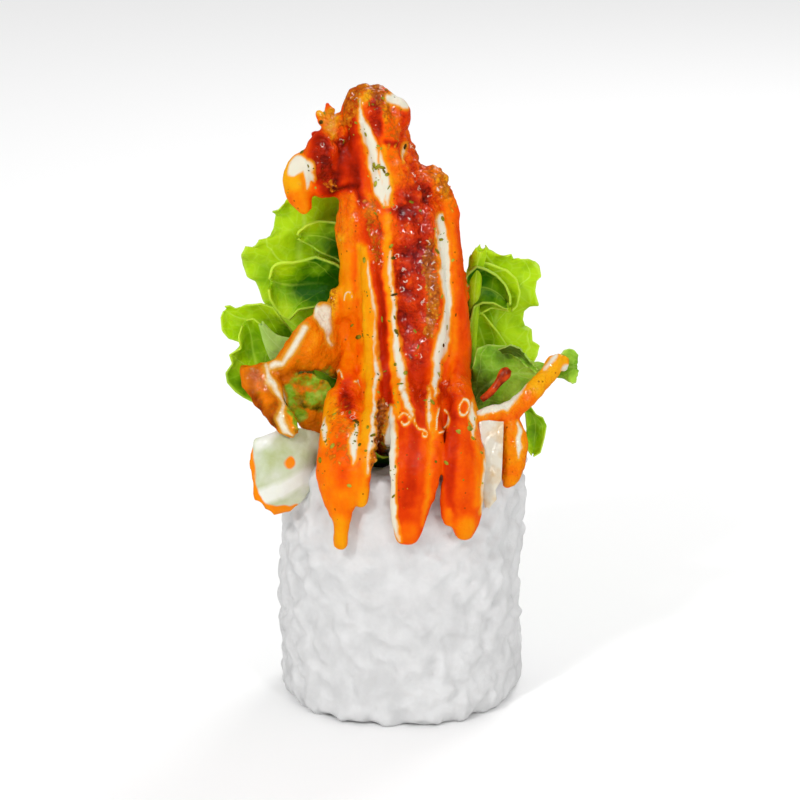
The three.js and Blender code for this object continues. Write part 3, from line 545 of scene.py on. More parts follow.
RIGHT_RIBBON = [
    (7.2, 94, 1.8, 1.1), (9.0, 85.5, 2.3, 1.3), (9.8, 76, 2.6, 1.3), (10.6, 66.5, 2.7, 1.5),
    (10.4, 60.5, 3.1, 1.7), (11.2, 56.8, 4.2, 1.9), (11.4, 52.5, 4.5, 2.0), (11.0, 46.5, 4.0, 1.8),
    (11.0, 41, 3.6, 1.6), (11.2, 37.6, 2.6, 1.5), (11.2, 35.8, 1.7, 1.1), (11.2, 35.0, 0.8, 0.5),
]
RIGHT_SIDE_DRIP = [(8.4, 46, 1.4, 1.3), (8.2, 40.6, 1.5, 1.3), (8.1, 38.2, 0.7, 0.7)]
DARK_FOLD = [(-7.6, 108.6, 1.5, 0.9), (-8.6, 103, 1.9, 1.2), (-7.8, 97, 1.8, 1.1), (-6.4, 91, 1.0, 0.7)]
PALE_FOLD = [(-6.4, 110, 1.0, 0.8), (-5.4, 105, 1.3, 1.1), (-3.6, 99, 1.4, 1.2), (-2.2, 93.5, 1.1, 0.8)]
BRIGHT_FOLD = [(-3.8, 109.4, 1.4, 0.9), (-2.4, 104.6, 1.7, 1.3), (-0.8, 99, 1.7, 1.2), (0.4, 92, 1.0, 0.8)]
BACK_LEFT_RIBBON = [
    (-6.0, 110, 1.4, 1.0), (-4.4, 100, 1.7, 1.2), (-3.8, 90, 1.8, 1.2), (-4.6, 80, 1.5, 1.0),
    (-4.2, 72, 0.8, 0.6),
]
BACK_RIGHT_RIBBON = [(-2.6, 109, 1.2, 0.9), (1.8, 98, 1.6, 1.1), (3.6, 88, 1.6, 1.1), (3.0, 79, 0.9, 0.7)]
FRONT_RIBBONS = [
    LEFT_RIBBON,
    LEFT_NARROW_RIBBON,
    MIDDLE_RIBBON,
    RIGHT_NARROW_RIBBON,
    RIGHT_RIBBON,
    RIGHT_SIDE_DRIP,
    DARK_FOLD,
    PALE_FOLD,
    BRIGHT_FOLD,
]
# Clumps of batter: middle, half sizes, and how far it is leaned about X and tipped about Y, in radians.
CLUMPS = [
    ((5.0, -0.6, 94.4), (3.2, 3.8, 3.2), 0, -0.4),
    ((-8.6, -13.6, 53.4), (4.2, 6.0, 4.6), 0.5, 0),
    ((9.2, -13.2, 53.6), (4.4, 6.4, 4.8), 0.5, 0),
    ((-11.2, -0.6, 104.0), (3.0, 2.4, 2.6), 0, -0.7),
    ((-13.4, -1.4, 105.6), (1.0, 1.0, 2.4), 0, -0.7),
    ((-12.6, -1.8, 107.0), (0.8, 0.9, 2.3), 0, -0.15),
    ((-14.2, -1.2, 102.8), (0.9, 1.0, 1.9), 0, -1.1),
    ((-10.0, -1.4, 97.0), (3.4, 3.6, 5.4), 0, 0.2),
    ((-13.9, -3.2, 99.6), (3.0, 3.2, 4.8), 0, 0.1),
    ((-12.8, -2.4, 94.4), (3.4, 2.4, 2.2), 0, -0.2),
    ((-11.5, -3.4, 72.6), (1.6, 1.6, 3.8), 0, 0.2),
    ((-8.0, -1.4, 107.2), (2.6, 3.2, 4.2), 0, 0.25),
    ((-1.4, -1.2, 106.8), (3.3, 3.2, 3.4), 0, -0.3),
]
# The curled end of the shrimp, as rows of x, y, z, half width and half thickness.
CURLED_TAIL = [
    (-13.6, -2.2, 98.2, 2.2, 1.8), (-16.8, -2.4, 98.4, 2.4, 2.0), (-18.4, -2.6, 95.8, 2.4, 1.9),
    (-17.8, -2.8, 92.6, 2.3, 1.7), (-16.5, -3.0, 89.8, 1.0, 0.9),
]


def table_at(table, x):
    """Smooth interpolation of a table whose first column is the parameter, with a slope at each row that
    is the rise between its neighbours over their distance."""
    rows = np.array(table, float)
    keys, values = rows[:, 0], rows[:, 1:]
    before = np.maximum(np.arange(len(rows)) - 1, 0)
    after = np.minimum(np.arange(len(rows)) + 1, len(rows) - 1)
    slopes = (values[after] - values[before]) / (keys[after] - keys[before])[:, None]
    x = np.clip(np.asarray(x, float), keys[0], keys[-1])
    i = np.clip(np.searchsorted(keys, x, side="right") - 1, 0, len(rows) - 2)
    span = (keys[i + 1] - keys[i])[..., None]
    t = ((x - keys[i])[..., None]) / span
    rise = values[i + 1] - values[i]
    start, end = slopes[i] * span, slopes[i + 1] * span
    return values[i] + t * start + t**2 * (3 * rise - 2 * start - end) + t**3 * (start + end - 2 * rise)


def shrimp_tube(height, around):
    """The shrimp's body between given heights, as a tube through the table of ovals."""
    cx, cy, rx, ry = np.moveaxis(table_at(SHRIMP_OVALS, height), -1, 0)[..., None]
    turn = np.linspace(0, 2 * np.pi, around, endpoint=False)
    ring = np.stack([cx + rx * np.cos(turn), cy + ry * np.sin(turn), height[:, None] + 0 * turn], -1)
    ends = np.stack([[cx[k, 0], cy[k, 0], height[k]] for k in (0, -1)])
    return np.concatenate([ring.reshape(-1, 3), ends]), tube_triangles(len(height), around)


def lump(middle, halves, lean, tip):
    """A clump of batter: a sphere stretched to half sizes, leaned about X, tipped about Y, and placed."""
    sphere, faces = ball(rings=30, around=40)
    points = sphere * halves
    x, y, z = points.T
    y, z = y * np.cos(lean) - z * np.sin(lean), y * np.sin(lean) + z * np.cos(lean)
    x, z = x * np.cos(tip) + z * np.sin(tip), z * np.cos(tip) - x * np.sin(tip)
    return np.stack([x, y, z], -1) + middle, faces


def drape_y(x, z, side):
    """The depth that the sauce runs at: the shrimp's surface, then over the rim a sine swing outwards to a
    cylinder of DRIP_RADIUS in front of the rice. At the back it is the shrimp's surface all the way."""
    cx, cy, rx, ry = np.moveaxis(table_at(SHRIMP_OVALS, np.maximum(z, DRAPE_FOOT)), -1, 0)
    across = np.clip((x - cx) / rx, -0.97, 0.97)
    on_shrimp = cy + side * ry * np.sqrt(1 - across**2)
    if side > 0:
        return on_shrimp
    hanging = -np.sqrt(DRIP_RADIUS**2 - x**2)
    fall = np.clip((SWING_FROM - z) / (SWING_FROM - SWING_TO), 0, 1)
    return on_shrimp + (hanging - on_shrimp) * np.sin(fall * np.pi / 2)


def smooth_path(rows, steps):
    """A smooth curve through rows of any width, at even steps from the first row to the last."""
    rows = np.array(rows, float)
    return table_at(np.column_stack([np.arange(len(rows)), rows]), np.linspace(0, len(rows) - 1, steps))


def oval_tube(centre, across, normal, half_width, half_thick, around=22):
    """A closed tube: at each step an oval of half_width along `across` and half_thick along `normal`."""
    turn = np.linspace(0, 2 * np.pi, around, endpoint=False)
    wide = (half_width[:, None] * np.cos(turn))[..., None] * across[:, None]
    thick = (half_thick[:, None] * np.sin(turn))[..., None] * normal[:, None]
    ring = (centre[:, None] + wide + thick).reshape(-1, 3)
    return np.concatenate([ring, centre[:1], centre[-1:]]), tube_triangles(len(centre), around)


def ribbon(rows, side=-1):
    """A ribbon of sauce that lies on the drape."""
    x, z, half_width, half_thick = smooth_path(rows, STEPS_PER_ROW * len(rows)).T
    y = drape_y(x, z, side)
    centre = np.stack([x, y, z], -1)
    tangent = unit(np.gradient(centre, axis=0))
    slope = (drape_y(x + 0.3, z, side) - drape_y(x - 0.3, z, side)) / 0.6
    normal = np.stack([-side * slope, side + 0 * x, 0 * x], -1)
    normal = unit(normal - (normal * tangent).sum(-1, keepdims=True) * tangent)
    return oval_tube(centre, np.cross(tangent, normal), normal, half_width, half_thick)


def rope(rows, facing):
    """A tube along a free path: rows of x, y, z, half width and half thickness."""
    path = smooth_path(rows, STEPS_PER_ROW * len(rows))
    centre, half_width, half_thick = path[:, :3], path[:, 3], path[:, 4]
    tangent = unit(np.gradient(centre, axis=0))
    across = unit(np.cross(tangent, facing))
    return oval_tube(centre, across, np.cross(across, tangent), half_width, half_thick)


def crumbs(points, size, seed=0):
    """Crumbs about `size` mm across: one in each lattice cell at a random place and of a random radius, as
    a dome 1 - d^2/r^2. Where they meet the highest counts."""
    cell = np.floor(points / size)
    f = points / size - cell
    highest = np.zeros(len(points))
    for corner in np.ndindex(3, 3, 3):
        step = np.array(corner) - 1.0
        key = np.moveaxis(cell + step, -1, 0)
        away = [step[i] + 0.5 + 0.45 * lattice(*key, seed + i) - f[:, i] for i in range(3)]
        radius = 0.62 + 0.25 * lattice(*key, seed + 3)
        dome = (0.75 + 0.25 * lattice(*key, seed + 4)) * (1 - sum(a * a for a in away) / radius**2)
        highest = np.maximum(highest, dome)
    return highest


def stroke_depth(points, rows):
    """How far, in mm, a point seen from the front is inside a painted stroke: rows of x, z and half width.
    It is the half width less the distance to the stroke's middle line."""
    place = points[:, [0, 2]]
    deepest = np.full(len(points), -99.0)
    for (x0, z0, half0), (x1, z1, half1) in zip(rows[:-1], rows[1:]):
        run = np.array([x1 - x0, z1 - z0])
        t = np.clip((place - (x0, z0)) @ run / (run @ run), 0, 1)
        gap = np.linalg.norm(place - (x0, z0) - t[:, None] * run, axis=1)
        deepest = np.maximum(deepest, half0 + (half1 - half0) * t - gap)
    return deepest


def depth_in_any(points, strokes):
    """How far a point is inside the stroke that it is deepest in."""
    return np.max([stroke_depth(points, rows) for rows in strokes], axis=0)


def thin_line(rows):
    """A stroke of no width along a smooth curve through rows of x and z."""
    line = smooth_path(rows, 5 * len(rows))
    return np.column_stack([line, np.zeros(len(line))])


def painted(points, ground, strokes):
    """A value painted over the ground in strokes, each with its own value, soft edge and rows."""
    value = ground
    for target, soft, rows in strokes:
        share = np.clip(0.5 + stroke_depth(points, rows) / (2 * soft), 0, 1)
        share = share * share * (3 - 2 * share)
        value = value + share * (target - value)
    return value


# How deep red the sauce is: 0 yellow, 0.4 orange, 1 dark brown-red. Each stroke has its value, its soft
# edge and its rows of x, z and half width.
REDNESS = [
    (0.70, 1.2, [(2.5, 92, 2.6), (2.3, 80, 3.0), (2.2, 68, 2.8), (3.2, 60, 1.6), (3.6, 56, 0.8)]),
    (0.80, 1.0, [(-1.0, 91, 0.7), (1.0, 90, 1.4), (3.0, 87.5, 0.8)]),
    (0.30, 0.9, [(-5.4, 92.5, 1.0), (-4.4, 89.5, 1.4)]),
    (0.30, 1.3, [(4.6, 98.5, 1.4), (6.6, 95.6, 2.0), (8.4, 92.0, 1.2)]),
    (0.28, 1.0, [(-9.5, 93, 1.5), (-9.6, 84, 2.2)]),
    (0.22, 1.0, [(-9.6, 84, 2.2), (-9.6, 76, 2.2)]),
    (0.30, 1.0, [(-9.8, 72, 2.0), (-9.4, 64, 2.0)]),
    (0.50, 0.8, [(-7.9, 90, 0.5), (-8.0, 82, 0.4), (-8.2, 76, 0.3)]),
    (0.05, 0.6, [(-11.6, 76.4, 0.5), (-12.3, 72.5, 1.0), (-13.0, 69.5, 0.6)]),
    (0.14, 0.7, [(-12.6, 71, 0.5), (-12.4, 66, 0.4)]),
    (0.08, 0.7, [(-6.8, 84, 0.8), (-6.3, 76, 1.2), (-6.0, 68, 1.2), (-5.7, 60, 1.1), (-6.2, 52, 1.1)]),
    (0.16, 0.6, [(-6.3, 52, 0.9), (-6.6, 46, 0.9), (-6.9, 42, 1.0)]),
    (0.78, 0.6, [(-3.8, 80, 0.5), (-3.3, 72, 0.9), (-2.9, 64, 1.0), (-2.2, 58, 0.9), (-1.9, 55, 0.3)]),
    (0.17, 0.5, [(-2.6, 90, 0.8), (-2.4, 80, 0.6), (-2.0, 70, 0.45), (-1.3, 62, 0.6), (-0.2, 57, 0.6)]),
    (0.30, 0.7, [(8.6, 90, 0.8), (9.6, 80, 0.7), (9.7, 72, 0.6), (8.6, 62, 0.5)]),
    (0.52, 0.8, [(10.8, 86, 1.0), (11.6, 76, 1.4), (11.8, 66, 1.8), (10.5, 58, 1.6)]),
    (0.30, 1.0, [(-10.8, 57, 3.6), (-11.0, 46, 4.2), (-10.6, 40, 2.6), (-10.6, 34, 1.4)]),
    (0.74, 1.0, [(-10.2, 60.2, 0.6), (-9.2, 58.0, 1.2), (-8.6, 56.4, 0.4)]),
    (0.06, 0.6, [(-11.6, 58.4, 0.4), (-11.8, 56.2, 0.5)]),
    (0.06, 0.7, [(-12.8, 58, 0.6), (-13.2, 54.6, 0.6)]),
    (0.44, 1.2, [(-10.4, 54, 1.4), (-10.2, 46, 1.0)]),
    (0.13, 1.0, [(-10.5, 39, 1.2), (-10.6, 33, 1.5)]),
    (0.55, 0.9, [(1.8, 56, 1.8), (1.8, 48, 2.2), (1.3, 42, 2.1), (0.9, 37, 1.6)]),
    (0.68, 0.6, [(2.4, 57, 0.8), (1.9, 50, 1.1), (1.4, 43, 0.8)]),
    (0.24, 0.6, [(5.6, 58, 0.4), (5.1, 50, 0.5), (4.6, 44, 0.5), (3.6, 39, 0.4)]),
    (0.35, 1.1, [(0.9, 38, 1.8), (0.7, 34.0, 1.4)]),
    (0.50, 0.9, [(11.5, 57, 2.8), (11.0, 46, 3.0), (11.0, 39, 2.0)]),
    (0.72, 0.7, [(8.8, 59, 0.9), (8.6, 52, 1.1), (8.4, 46, 0.9), (8.9, 41, 0.5)]),
    (0.27, 0.7, [(13.7, 57, 0.8), (13.6, 48, 0.8), (13.2, 42, 0.7)]),
    (0.22, 1.0, [(11.2, 38, 2.0), (11.2, 34.5, 1.6)]),
    (0.30, 0.5, [(8.2, 41, 0.8), (8.1, 38, 0.8)]),
    (0.66, 0.8, [(-9.0, 111, 1.8), (-7.8, 112.6, 1.0)]),
    (0.80, 0.8, [(-8.9, 108, 0.7), (-8.8, 103, 1.3), (-8.2, 97, 1.2), (-6.9, 92, 0.7)]),
    (0.35, 0.5, [(-10.2, 108, 0.4), (-10.6, 102, 0.4)]),
    (0.06, 0.7, [(-6.4, 112.6, 1.2), (-4.2, 112.4, 1.2), (-7.0, 109.5, 0.5)]),
    (0.02, 0.7, [(-14.2, 107.6, 1.0), (-13.4, 106.0, 0.9)]),
    (0.38, 0.7, [(-1.6, 108.5, 1.8), (-1.4, 102, 1.6), (-1.2, 96, 1.2)]),
    (0.08, 0.6, [(-2.6, 110.0, 0.7), (-2.5, 106.5, 0.5)]),
    (0.74, 0.8, [(-4.4, 109.6, 0.7), (-4.2, 106, 0.8), (-3.9, 104.2, 0.4)]),
    (0.86, 0.5, [(-2.4, 102.7, 0.5), (-0.9, 102.3, 0.5)]),
    (0.60, 0.5, [(0.8, 109.5, 0.6), (1.1, 104, 0.7), (0.2, 100, 0.6)]),
    (0.10, 0.5, [(-2.9, 102, 0.4), (-2.2, 96, 0.5), (-1.8, 92, 0.4)]),
    (0.12, 0.8, [(-12.4, 107.0, 1.2), (-12.0, 104.4, 2.0)]),
    (0.36, 0.6, [(-10.6, 105.5, 0.6), (-10.8, 102.8, 0.6)]),
    (0.04, 0.8, [(-19.9, 98, 2.2), (-19.3, 93.4, 1.6)]),
    (0.30, 1.0, [(-18.3, 92, 2.0), (-17.0, 89, 1.6), (-16.3, 88.0, 1.2)]),
    (0.82, 0.7, [(-14.2, 102.4, 1.8), (-13.9, 98.6, 2.3), (-12.8, 94.6, 2.0)]),
    # The last stroke is painted shade: near-black red in the crevice between the curled end's ball and the
    # body.
    (0.94, 1.0, [(-10.4, 102, 0.5), (-10.6, 97, 0.8), (-11.4, 94, 0.8), (-8.8, 94.6, 0.6)]),
]
# White mayonnaise: rows of x, z and half width.
MAYONNAISE = [
    [
        (-6.1, 82, 0.1), (-5.4, 76.6, 0.2), (-4.9, 72, 0.15), (-4.2, 62, 0.28), (-4.9, 55, 0.35),
        (-5.7, 48, 0.2),
    ],
    [
        (-1.8, 84, 0.15), (-1.6, 78.3, 0.25), (-1.2, 72, 0.5), (-0.6, 65.5, 0.75), (0.4, 60.8, 0.45),
        (1.8, 56.6, 0.1),
    ],
    [
        (6.7, 89, 0.5), (7.2, 84.6, 0.9), (7.9, 78.3, 0.85), (8.4, 74.6, 0.75), (8.1, 72, 0.9),
        (7.4, 67.9, 0.95),
    ],
    [(7.4, 67.9, 0.95), (6.4, 62.5, 0.75), (6.1, 59.6, 0.2)],
    [
        (-1.6, 57.5, 0.4), (-1.9, 54, 0.85), (-2.0, 48, 0.85), (-1.7, 42.5, 0.8), (-1.0, 38.5, 0.4),
        (-0.4, 36, 0.1),
    ],
    [(5.0, 60.6, 0.1), (4.8, 57.6, 0.3), (4.8, 55.0, 0.1)],
    [(-13.2, 55.6, 0.1), (-13.4, 54.0, 0.55), (-13.2, 52.2, 0.2)],
    [(-7.8, 55.4, 0.1), (-8.1, 53.4, 0.7), (-8.1, 51.2, 0.6), (-8.5, 49.6, 0.1)],
    [(15.6, 60, 0.2), (16.0, 56, 0.6), (15.4, 50, 0.6), (14.8, 44, 0.6), (14.4, 40, 0.2)],
    [(12.4, 58, 0.1), (12.9, 55.9, 0.55), (12.8, 53.4, 0.1)],
    [(-7.3, 110, 0.0), (-7.0, 107.4, 0.35), (-6.3, 105, 0.7), (-5.2, 102, 0.8), (-4.6, 98, 0.75)],
    [(-4.6, 98, 0.75), (-3.6, 94, 0.9), (-3.1, 92, 0.3)],
    [(-3.9, 101.5, 0.2), (-3.2, 98, 0.7), (-2.6, 94, 0.6), (-2.4, 92, 0.2)],
    [(-2.2, 110.2, 0.6), (-0.6, 109.8, 1.0), (1.0, 108.6, 0.5)],
    [(0.6, 101.8, 0.0), (0.5, 100.6, 0.25), (0.3, 99.2, 0.0)],
    [(-19.0, 97.0, 0.7), (-17.8, 98.6, 1.4), (-16.6, 98.4, 1.0), (-16.4, 96.0, 0.8), (-16.8, 94.2, 0.2)],
    [(-12.6, 71.6, 0.1), (-13.0, 69.4, 0.35), (-12.6, 67, 0.1)],
]
# How bare the golden crumbs are, and how rough the surface is, in the same way as REDNESS.
BARENESS = [
    (0.75, 0.8, [(5.2, 85, 0.9), (5.5, 76, 1.2), (5.0, 69, 0.9)]),
    (1.0, 0.7, [(-3.8, 58, 0.9), (-3.6, 52, 1.5), (-3.4, 46, 1.5)]),
    (0.5, 0.8, [(-11.8, 75.6, 0.7), (-12.6, 71.0, 0.8)]),
    (0.38, 1.2, [(-10.8, 56, 2.4), (-10.8, 51, 2.4)]),
    (0.42, 1.0, [(8.2, 95.4, 1.5), (5.5, 97.5, 1.4), (9.6, 90.5, 0.8)]),
    (0.64, 1.2, [(-9.6, 106, 1.2), (-8.6, 112, 2.2), (-5.6, 113, 1.8), (-3.0, 110, 1.4)]),
    (0.42, 1.0, [(-2.0, 108, 1.6), (-1.0, 99, 1.0)]),
    (0.36, 0.8, [(-13.6, 95.4, 0.8), (-10.6, 94.0, 1.0)]),
    (0.42, 0.9, [(-6.0, 92, 1.6), (-4.8, 87, 1.6), (-3.8, 82, 0.8)]),
    (0.30, 0.7, [(-10.8, 90, 0.6), (-11.2, 84, 0.5), (-10.8, 79, 0.5)]),
]
ROUGHNESS = [
    (0.85, 1.5, [(2.5, 96, 4.0), (2.5, 80, 3.4), (2.5, 66, 2.4)]),
    (0.7, 1.0, [(-13.8, 101, 1.4), (-12.8, 96, 1.6)]),
    (0.6, 1.2, [(-9.8, 58, 2.2), (-8.6, 54, 1.2)]),
    (0.5, 1.0, [(0.2, 60, 0.8), (6.4, 60, 1.4), (11.0, 61, 0.8)]),
    (0.9, 1.0, [(5.2, 85, 1.2), (5.4, 69, 1.2)]),
    (1.0, 1.5, [(3.0, 96, 2.0), (7.0, 94, 2.6)]),
    (0.8, 1.0, [(-5.6, 92, 1.6), (-4.6, 86, 1.4), (-3.8, 81, 0.8)]),
    (0.6, 1.2, [(-1.6, 109, 1.6), (0.6, 105, 1.4), (0.8, 99, 1.4)]),
    (1.0, 0.6, [(-3.8, 58, 1.0), (-3.6, 52, 1.5), (-3.4, 46, 1.5)]),
    (0.7, 0.8, [(-11.8, 76, 0.8), (-12.6, 71, 1.0)]),
    (0.6, 1.5, [(-6.0, 112, 4.0), (-5.0, 106, 2.0)]),
    (0.8, 1.0, [(-12.6, 106.5, 2.0), (-11.2, 103, 2.0)]),
    (0.5, 1.5, [(-8.5, 92, 2.5), (-9.5, 86, 2.0)]),
]

WRINKLE_HEIGHT = 0.3
WRINKLE_WIDTH = 0.35
# How far to each side of a wrinkle's line a highlight is painted white, in mm.
WRINKLE_CREST = 0.10
# Thin wrinkles in the skin of the sauce, in rows of x and z.
WRINKLES = [
    [(10.8, 59.0), (11.5, 58.6), (11.7, 57.7), (11.1, 56.9), (10.3, 57.2), (10.1, 58.1), (10.8, 59.0)],
    [(6.0, 54.8), (6.2, 56.4), (6.5, 57.6)],
    [(6.4, 54.3), (7.6, 54.5), (8.3, 55.4), (8.4, 56.5), (7.7, 57.0)],
    [(-0.4, 56.8), (0.4, 57.4), (1.4, 57.0), (1.5, 56.2), (0.6, 55.8), (0.1, 56.2)],
    [(0.6, 60.2), (1.8, 57.8), (2.8, 55.5), (4.0, 55.0)],
    [(3.9, 54.9), (4.4, 54.6), (4.3, 54.0), (3.8, 54.1), (3.7, 54.6)],
    [(-11.2, 61.4), (-10.6, 62.0), (-10.2, 61.2)],
    [(-8.3, 60.8), (-7.7, 60.4), (-7.3, 59.6)],
    [(-10.0, 74.2), (-9.6, 75.4), (-9.0, 75.8), (-8.7, 74.8)],
]


def store(piece, name, values):
    """Keeps a number for each point of the mesh, or one for them all, which the material reads by name."""
    layer = piece.data.attributes.new(name, "FLOAT", "POINT")
    layer.data.foreach_set("value", np.full(len(layer.data), values, np.float32))


def stored(tree, name):
    """The value that was kept under this name."""
    return shader_node(tree, "ShaderNodeAttribute", attribute_name=name).outputs["Fac"]


def math(tree, operation, *values):
    """One step of arithmetic on sockets or numbers."""
    made = shader_node(tree, "ShaderNodeMath", dict(enumerate(values)), operation=operation)
    return made.outputs[0]


def mix(tree, share, one, other):
    """One colour turning into another."""
    made = shader_node(tree, "ShaderNodeMix", {"Factor": share}, data_type="RGBA")
    for name, value in (("A", one), ("B", other)):
        socket = next(s for s in made.inputs if s.name == name and s.type == "RGBA")
        if isinstance(value, bpy.types.NodeSocket):
            tree.links.new(value, socket)
        else:
            socket.default_value = (*value, 1)
    return next(s for s in made.outputs if s.type == "RGBA")


def share_of(tree, value, low, high):
    """0 below `low`, 1 above `high`, and a straight rise between."""
    inputs = {"Value": value, "From Min": low, "From Max": high}
    return shader_node(tree, "ShaderNodeMapRange", inputs).outputs["Result"]


def node_group(name, takes, gives):
    """A new shader node group of named numbers: its tree, the sockets it takes, and those it gives."""
    group = bpy.data.node_groups.new(name, "ShaderNodeTree")
    for label in takes:
        group.interface.new_socket(label, in_out="INPUT", socket_type="NodeSocketFloat")
    for label in gives:
        group.interface.new_socket(label, in_out="OUTPUT", socket_type="NodeSocketFloat")
    return group, group.nodes.new("NodeGroupInput").outputs, group.nodes.new("NodeGroupOutput").inputs


def sauce_paint_group():
    """How sauce lies on what it covers. The painted redness, bare places and mayonnaise are frayed by
    streaks that run down and by fine grit, more so where it is rough, and shade is painted into the hollows
    of the relief by making the sauce redder there. The wrinkles of its skin are the lines where a noise n
    passes 1/2: a ridge 1 - 5 |n - 1/2|. Specks of chili are the middles of a few cells, and painted glints,
    set where the rims of tiny oil bubbles would catch the light, are broken rings round the middles of
    others."""
    takes = ["Streak Scale", "Grit Scale", "Streaking", "Grittiness", "Hollow Shade", "Fraying"]
    gives = ["Redness", "Bare", "White", "Grit", "Wrinkles", "Specks", "Glint Rings"]
    group, given, put_out = node_group("sauce_paint", takes, gives)
    rough = stored(group, "rough")
    streaks = math(group, "ADD", noise(group, given["Streak Scale"], 4, stretch=(1, 1, 0.45)), -0.5)
    grit = math(group, "ADD", noise(group, given["Grit Scale"], 3), -0.5)
    unrest = math(group, "MULTIPLY_ADD", rough, 0.9, 0.25)
    red = math(group, "MULTIPLY", streaks, given["Streaking"])
    red = math(group, "MULTIPLY_ADD", grit, given["Grittiness"], red)
    red = math(group, "MULTIPLY_ADD", red, unrest, stored(group, "red"))
    # Painted shade: the sauce is made redder in the hollows of the relief.
    red = math(group, "MULTIPLY_ADD", stored(group, "relief"), given["Hollow Shade"], red)
    bare = math(group, "MULTIPLY_ADD", streaks, 0.8, stored(group, "bare"))
    bare = math(group, "MULTIPLY_ADD", grit, 1.4, bare)
    white = math(group, "MULTIPLY_ADD", streaks, given["Fraying"], stored(group, "mayonnaise"))
    crossing = math(group, "ABSOLUTE", math(group, "ADD", noise(group, 950, 1), -0.5))
    wrinkles = math(group, "MAXIMUM", math(group, "MULTIPLY_ADD", crossing, -5.0, 1.0), 0.0)
    place = shader_node(group, "ShaderNodeTexCoord").outputs["Object"]
    cells = shader_node(group, "ShaderNodeTexVoronoi", {"Vector": place, "Scale": 800}).outputs
    chosen = share_of(group, cells["Color"], 0.62, 0.66)
    specks = math(group, "MULTIPLY", share_of(group, cells["Distance"], 0.18, 0.10), chosen)
    # Painted glints: broken light rings round the middles of a few cells, on the rough places only.
    jitter = shader_node(group, "ShaderNodeTexNoise", {"Vector": place, "Scale": 1500}).outputs["Color"]
    moved = {0: jitter, 1: (0.0011, 0.0011, 0.0011), 2: place}
    moved = shader_node(group, "ShaderNodeVectorMath", moved, operation="MULTIPLY_ADD").outputs["Vector"]
    cells = shader_node(group, "ShaderNodeTexVoronoi", {"Vector": moved, "Scale": 640}).outputs
    ring = math(group, "ABSOLUTE", math(group, "ADD", cells["Distance"], -0.27))
    chosen = share_of(group, cells["Color"], 0.56, 0.60)
    ring = math(group, "MULTIPLY", share_of(group, ring, 0.075, 0.03), chosen)
    ring = math(group, "MULTIPLY", ring, share_of(group, noise(group, 900, 1), 0.50, 0.56))
    glint_rings = math(group, "MULTIPLY", ring, share_of(group, rough, 0.35, 0.6))
    outcome = (red, bare, white, grit, wrinkles, specks, glint_rings)
    for label, value in zip(gives, outcome):
        group.links.new(value, put_out[label])
    return group


sauce_paint = sauce_paint_group()


def glaze_material():
    """Fried crumbs under chili sauce: the redness picks a colour from yellow-orange to brown-red, the bare
    places show golden crumbs, and mayonnaise lies over both in white. Painted highlights lie in the same
    white on the wrinkle crests, painted glints ring the rough places, and shade is painted into hollows."""
    material, tree, shader = principled("chili_glaze_on_crumbs")
    inputs = {"Streak Scale": 620, "Grit Scale": 1500, "Streaking": 0.45, "Grittiness": 0.3}
    # Shade is painted into the hollows of the relief, as redder sauce.
    inputs.update({"Hollow Shade": -0.32, "Fraying": 0.9})
    paint = shader_node(tree, "ShaderNodeGroup", inputs, node_tree=sauce_paint).outputs
    stops = [
        (0.0, 0.80, 0.37, 0.004),
        (0.15, 0.81, 0.27, 0.001),
        (0.30, 0.83, 0.165, 0.0),
        (0.45, 0.80, 0.088, 0.0),
        (0.60, 0.66, 0.038, 0.0),
        (0.75, 0.46, 0.016, 0.0),
        (0.90, 0.21, 0.006, 0.0),
        (1.0, 0.06, 0.003, 0.0005),
    ]
    sauce_colour = ramp(tree, paint["Redness"], stops)
    golden_stops = [
        (0.05, 0.17, 0.018, 0.0004),
        (0.4, 0.42, 0.08, 0.001),
        (0.7, 0.60, 0.15, 0.003),
        (0.95, 0.78, 0.40, 0.02),
    ]
    golden_grit_and_relief_shade = math(tree, "MULTIPLY_ADD", paint["Grit"], 1.6, 0.45)
    # Painted shade and light: the golden crumbs darker in the hollows of the relief and lighter on its
    # swells.
    golden_grit_and_relief_shade = math(tree, "MULTIPLY_ADD", stored(tree, "relief"), 0.3, golden_grit_and_relief_shade)
    golden = ramp(tree, golden_grit_and_relief_shade, golden_stops)
    colour = mix(tree, share_of(tree, paint["Bare"], 0.35, 0.55), sauce_colour, golden)
    colour = mix(tree, share_of(tree, paint["White"], -0.6, 0.05), colour, (0.82, 0.33, 0.008))
    colour = mix(tree, math(tree, "MULTIPLY", paint["Specks"], 0.75), colour, (0.22, 0.04, 0.001))
    colour = mix(tree, share_of(tree, paint["White"], -0.12, 0.3), colour, (0.72, 0.68, 0.55))
    # Painted glints: the broken rings turn the colour nearly white.
    colour = mix(tree, math(tree, "MULTIPLY", paint["Glint Rings"], 0.7), colour, (1.0, 0.82, 0.62))
    tree.links.new(colour, shader.inputs["Base Color"])
    rough = stored(tree, "rough")
    tree.links.new(math(tree, "MULTIPLY_ADD", rough, 0.15, 0.3), shader.inputs["Roughness"])
    shine = math(tree, "MAXIMUM", math(tree, "MULTIPLY_ADD", rough, 0.8, -0.08), 0.0)
    tree.links.new(shine, shader.inputs["Coat Weight"])
    set_inputs(shader, Specular_IOR_Level=0.04, Coat_Roughness=0.02)
    set_inputs(shader, Subsurface_Weight=0.1, Subsurface_Scale=0.0008, Subsurface_Radius=(1, 0.3, 0.1))
    bumped(tree, shader, math(tree, "MULTIPLY", paint["Wrinkles"], rough), 0.00035)
    return material


